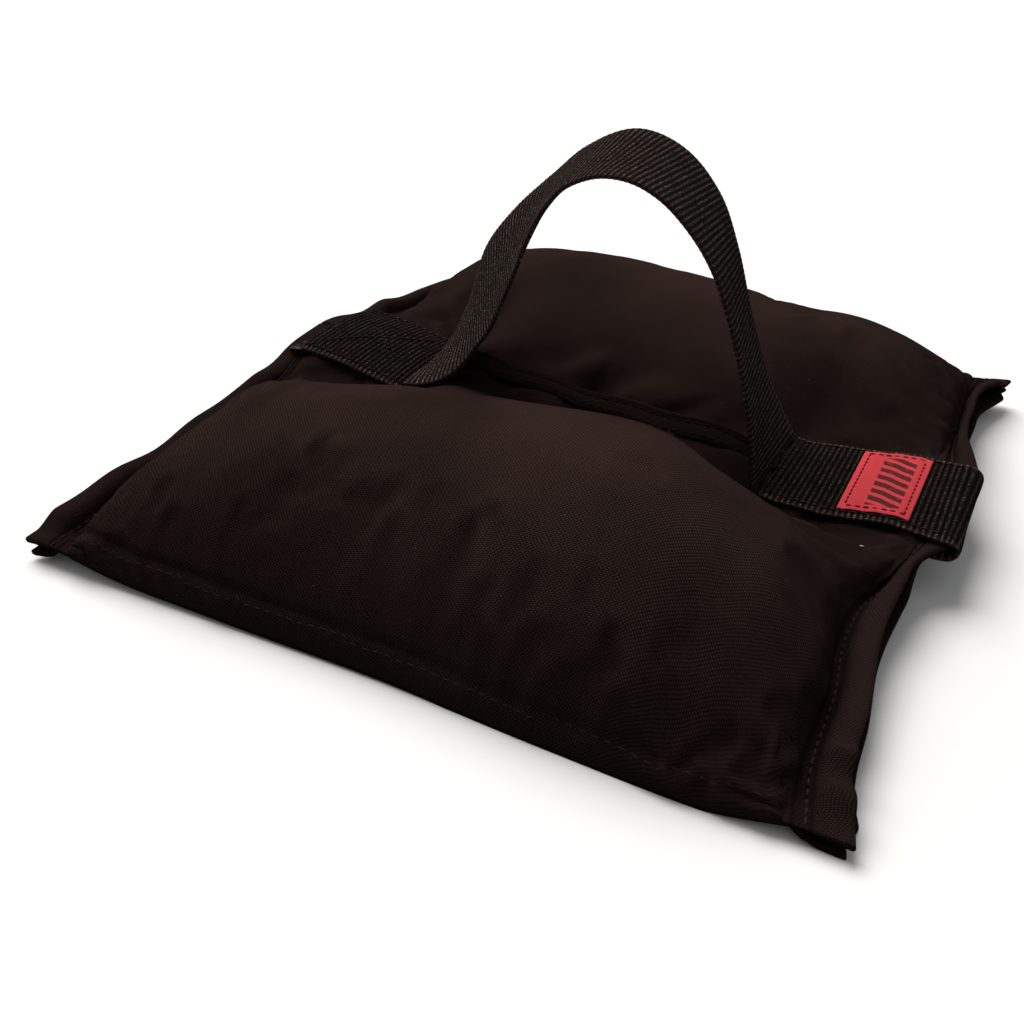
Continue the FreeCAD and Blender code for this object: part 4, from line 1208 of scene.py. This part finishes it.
class SANDBAG_OT_label(bpy.types.Operator):
    """Make the woven label and the stitches round it"""
    bl_idname = "sandbag.label"
    bl_label = "Label"

    def execute(self, context):
        x = np.linspace(*LABEL_PLACES, 46)
        points, _ = right_strap_surface(x, 0 * x)
        lean = near_side_drop(x) / (2 * STRAP_HALF)
        sideways, up = path_frame(points, np.stack([0 * x, 1 + 0 * x, lean], axis=1))
        label = ribbon("label_patch", points + 0.45 * up + 0.12 * np.sin(x * 0.9)[:, None] * up, sideways, up,
                       2 * LABEL_HALF, 0.7, label_material(), across=44,
                       relief=lambda along, across: 0.06 * np.sin(across * 0.8 + along * 0.3)
                       - 0.14 * (bump(along, 2, 0.5) + bump(along, 20, 0.5) + bump(np.abs(across), 20, 0.5)))
        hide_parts("label")
        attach(label, "centre")

        low, high = LABEL_PLACES[0] + 2, LABEL_PLACES[1] - 2
        reach = LABEL_HALF - 2
        rows = []
        for ends in (((low, -reach), (high, -reach)), ((high, -reach), (high, reach)),
                     ((high, reach), (low, reach)), ((low, reach), (low, -reach))):
            (x0, y0), (x1, y1) = ends
            share = np.linspace(0, 1, 60)
            place, up = right_strap_surface(x0 + (x1 - x0) * share, y0 + (y1 - y0) * share)
            rows.append((place + 0.72 * up, up))
        border = stitches("label_border_stitches", rows, 2.0, 2.7, 0.6, 0.4, label_thread_material())
        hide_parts("label_stitching")
        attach(border, "centre")
        return {"FINISHED"}


class SANDBAG_OT_stitching(bpy.types.Operator):
    """Make the rows of stitches on the covers, the lapped seam and the strap"""
    bl_idname = "sandbag.stitching"
    bl_label = "Stitching"

    def execute(self, context):
        size = context.scene.sandbag_cover
        for pouch in SIDES:
            rings, _ = cover_rings(pouch, size.pressure, size.spare_cloth)
            normal = grid_normals(rings[:, :COLUMNS])
            keep = np.abs(rings[:, 0, 1]) > STRAP_HALF + 1
            rows = []
            for right in (True, False):
                sign = 1 if right else -1
                column = COLUMNS + 1 if right else rings.shape[1] - 2
                line = rings[keep, column] + np.array([0, 0, 0.1])
                up = np.tile([sign * 0.15, 0.0, 1.0], (len(line), 1))
                rows.append((line, up))
            side = stitches(f"{pouch}_side_stitches", rows, 2.6, 3.3, 0.6, 0.45, thread_material())
            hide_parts(f"{pouch}_side_stitching")
            blend_to_pouch(side)

            top = rings[:, :COLUMNS]
            from_hem = np.cumsum(np.linalg.norm(np.diff(top[::-1], axis=0, prepend=top[-1:]), axis=-1),
                                 axis=0)[::-1]
            row = np.abs(from_hem - 7.0).argmin(axis=0)
            columns = np.arange(4, COLUMNS - 4)
            line, up = top[row[columns], columns], normal[row[columns], columns]
            hem = stitches(f"{pouch}_hem_stitches", [(line - 0.1 * up, up)], 2.4, 3.6, 0.4, 0.3,
                           thread_material())
            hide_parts(f"{pouch}_hem_stitching")
            blend_to_pouch(hem)

        path, sideways, up = lap_middle()
        rows = [(path + spot * sideways + up, up) for spot in (1.8, -3.0)]
        lap = stitches("centre_lap_stitches", rows, 2.6, 3.5, 0.5, 0.5, thread_material())
        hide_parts("centre_seam_stitching")
        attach(lap, "centre")

        for name, foot, end, sign in (("left", LEFT_FOOT, LEFT_END, -1), ("right", RIGHT_FOOT, RIGHT_END, 1)):
            flat = anchor_path(foot, end)
            upper = flat[: int(len(flat) * 0.46)]
            drop = near_side_drop(upper[:, 0])
            rows = strap_rows(upper, drop, CROWN[name], (STRAP_HALF - 2.5, 2.5 - STRAP_HALF))
            path, sideways = tilt_strap(upper, drop)
            sideways, normal = path_frame(path, sideways)
            normal = normal * np.sign(normal[:1, 2:])
            reach = np.abs(upper[:, 0] - foot)
            spots = np.linspace(2.5 - STRAP_HALF, STRAP_HALF - 2.5, 60)
            crossings = [1.6, 3.4, CLOSING - abs(foot) + 0.5] if name == "right" else [1.6, 3.4, 40.0]
            for place in crossings:
                k = np.abs(reach - place).argmin()
                rise = WEBBING / 2 - CROWN[name] * (spots[:, None] / STRAP_HALF) ** 2
                rows.append((path[k] + spots[:, None] * sideways[k] + normal[k] * rise,
                             np.tile(normal[k], (len(spots), 1))))
            if name == "left":
                for start, stop in ((-17, 15), (15, -17)):
                    k = np.linspace(np.abs(reach - 8).argmin(), np.abs(reach - 38).argmin(), 60).astype(int)
                    spot = np.linspace(start, stop, 60)[:, None]
                    rise = WEBBING / 2 - CROWN[name] * (spot / STRAP_HALF) ** 2
                    rows.append((path[k] + spot * sideways[k] + normal[k] * rise, normal[k]))
            row = stitches(f"{name}_end_stitches", rows, 2.3, 3.1, 0.6, 0.6, thread_material())
            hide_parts(f"{name}_anchor_stitching")
            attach(row, "centre")
        return {"FINISHED"}


class SANDBAG_OT_stage(bpy.types.Operator):
    """Make the floor, the lights and the camera"""
    bl_idname = "sandbag.stage"
    bl_label = "Floor, lights and camera"

    def execute(self, context):
        size = context.scene.sandbag_stage
        scene = context.scene
        reach = 3000.0
        corners = [(-reach, -reach, 0), (reach, -reach, 0), (reach, reach, 0), (-reach, reach, 0)]
        material, nodes, shader = new_material("floor_white")
        soft = nodes.noise(nodes.add("ShaderNodeTexCoord").outputs["Object"], 3, 3.0)
        nodes.join(nodes.mix(soft, (0.33, 0.33, 0.33, 1), (0.36, 0.36, 0.36, 1)), shader.inputs["Base Color"])
        shader.inputs["Roughness"].default_value = 0.9
        shader.inputs["Specular IOR Level"].default_value = 0.1
        floor = new_mesh("floor", corners, [(0, 1, 2, 3)], material)

        world = bpy.data.worlds.new("studio")
        world.use_nodes = True
        sky = Tree(world.node_tree)
        background = world.node_tree.nodes["Background"]
        background.inputs["Color"].default_value = (1, 1, 1, 1)
        seen = sky.add("ShaderNodeLightPath").outputs["Is Camera Ray"]
        strength = sky.math("MULTIPLY_ADD", seen, 1 - size.sky_light, size.sky_light)
        sky.feed(background.inputs["Strength"], strength)
        scene.world = world
        for name, place, spread, power, colour in (
                ("key_light", (-1.0, 0.7, 1.5), 50, size.key_light, (1.0, 0.97, 0.94)),
                ("fill_light", (0.9, -0.9, 1.7), 80, size.fill_light, (0.97, 0.98, 1.0))):
            light = bpy.data.lights.new(name, "SUN")
            light.angle, light.energy, light.color = math.radians(spread), power, colour
            lamp = bpy.data.objects.new(name, light)
            scene.collection.objects.link(lamp)
            lamp.location = place
            lamp.rotation_euler = Vector(place).to_track_quat("Z", "Y").to_euler()
        scene.view_settings.view_transform = "Standard"
        scene.view_settings.look = "None"

        lens = bpy.data.cameras.new("camera")
        lens.lens, lens.sensor_width = size.focal_length, 36
        lens.clip_start, lens.clip_end = 0.01, 50
        camera = bpy.data.objects.new("camera", lens)
        scene.collection.objects.link(camera)
        azimuth, elevation, roll = np.radians([25.5, 29.0, 3.1])
        back = np.array([np.sin(azimuth) * np.cos(elevation), -np.cos(azimuth) * np.cos(elevation),
                         np.sin(elevation)])
        right = np.array([np.cos(azimuth), np.sin(azimuth), 0])
        up = np.cross(back, right)
        rolled_right = right * np.cos(roll) + up * np.sin(roll)
        rolled_up = up * np.cos(roll) - right * np.sin(roll)
        axes = np.stack([rolled_right, rolled_up, back], axis=1)
        matrix = np.eye(4)
        matrix[:3, :3] = axes
        matrix[:3, 3] = (0.1336, -0.3538, 0.1890)
        camera.matrix_world = Matrix(matrix.tolist())
        scene.camera = camera
        return {"FINISHED"}


class SANDBAG_PT_panel(bpy.types.Panel):
    """Lists the pieces of the sandbag"""
    bl_idname = "SANDBAG_PT_panel"
    bl_label = "Sandbag"
    bl_space_type = "VIEW_3D"
    bl_region_type = "UI"
    bl_category = "Sandbag"

    def draw(self, context):
        for group in ("sandbag_cover", "sandbag_strap", "sandbag_label", "sandbag_stage"):
            settings = getattr(context.scene, group)
            for name in settings.__annotations__:
                self.layout.prop(settings, name)
        for operator in OPERATORS:
            self.layout.operator(operator.bl_idname)


SETTINGS = {"sandbag_cover": CoverSettings, "sandbag_strap": StrapSettings, "sandbag_label": LabelSettings,
            "sandbag_stage": StageSettings}
OPERATORS = (SANDBAG_OT_covers, SANDBAG_OT_filling, SANDBAG_OT_lap_seam, SANDBAG_OT_strap, SANDBAG_OT_label,
             SANDBAG_OT_stitching, SANDBAG_OT_stage)


def register():
    for cls in (*SETTINGS.values(), *OPERATORS, SANDBAG_PT_panel):
        bpy.utils.register_class(cls)
    for name, cls in SETTINGS.items():
        setattr(bpy.types.Scene, name, bpy.props.PointerProperty(type=cls))


def unregister():
    for name in SETTINGS:
        delattr(bpy.types.Scene, name)
    for cls in (SANDBAG_PT_panel, *reversed(OPERATORS), *SETTINGS.values()):
        bpy.utils.unregister_class(cls)


def main():
    """Make every piece in turn."""
    register()
    for operator in OPERATORS:
        group, name = operator.bl_idname.split(".")
        getattr(getattr(bpy.ops, group), name)()


if __name__ == "__main__":
    main()
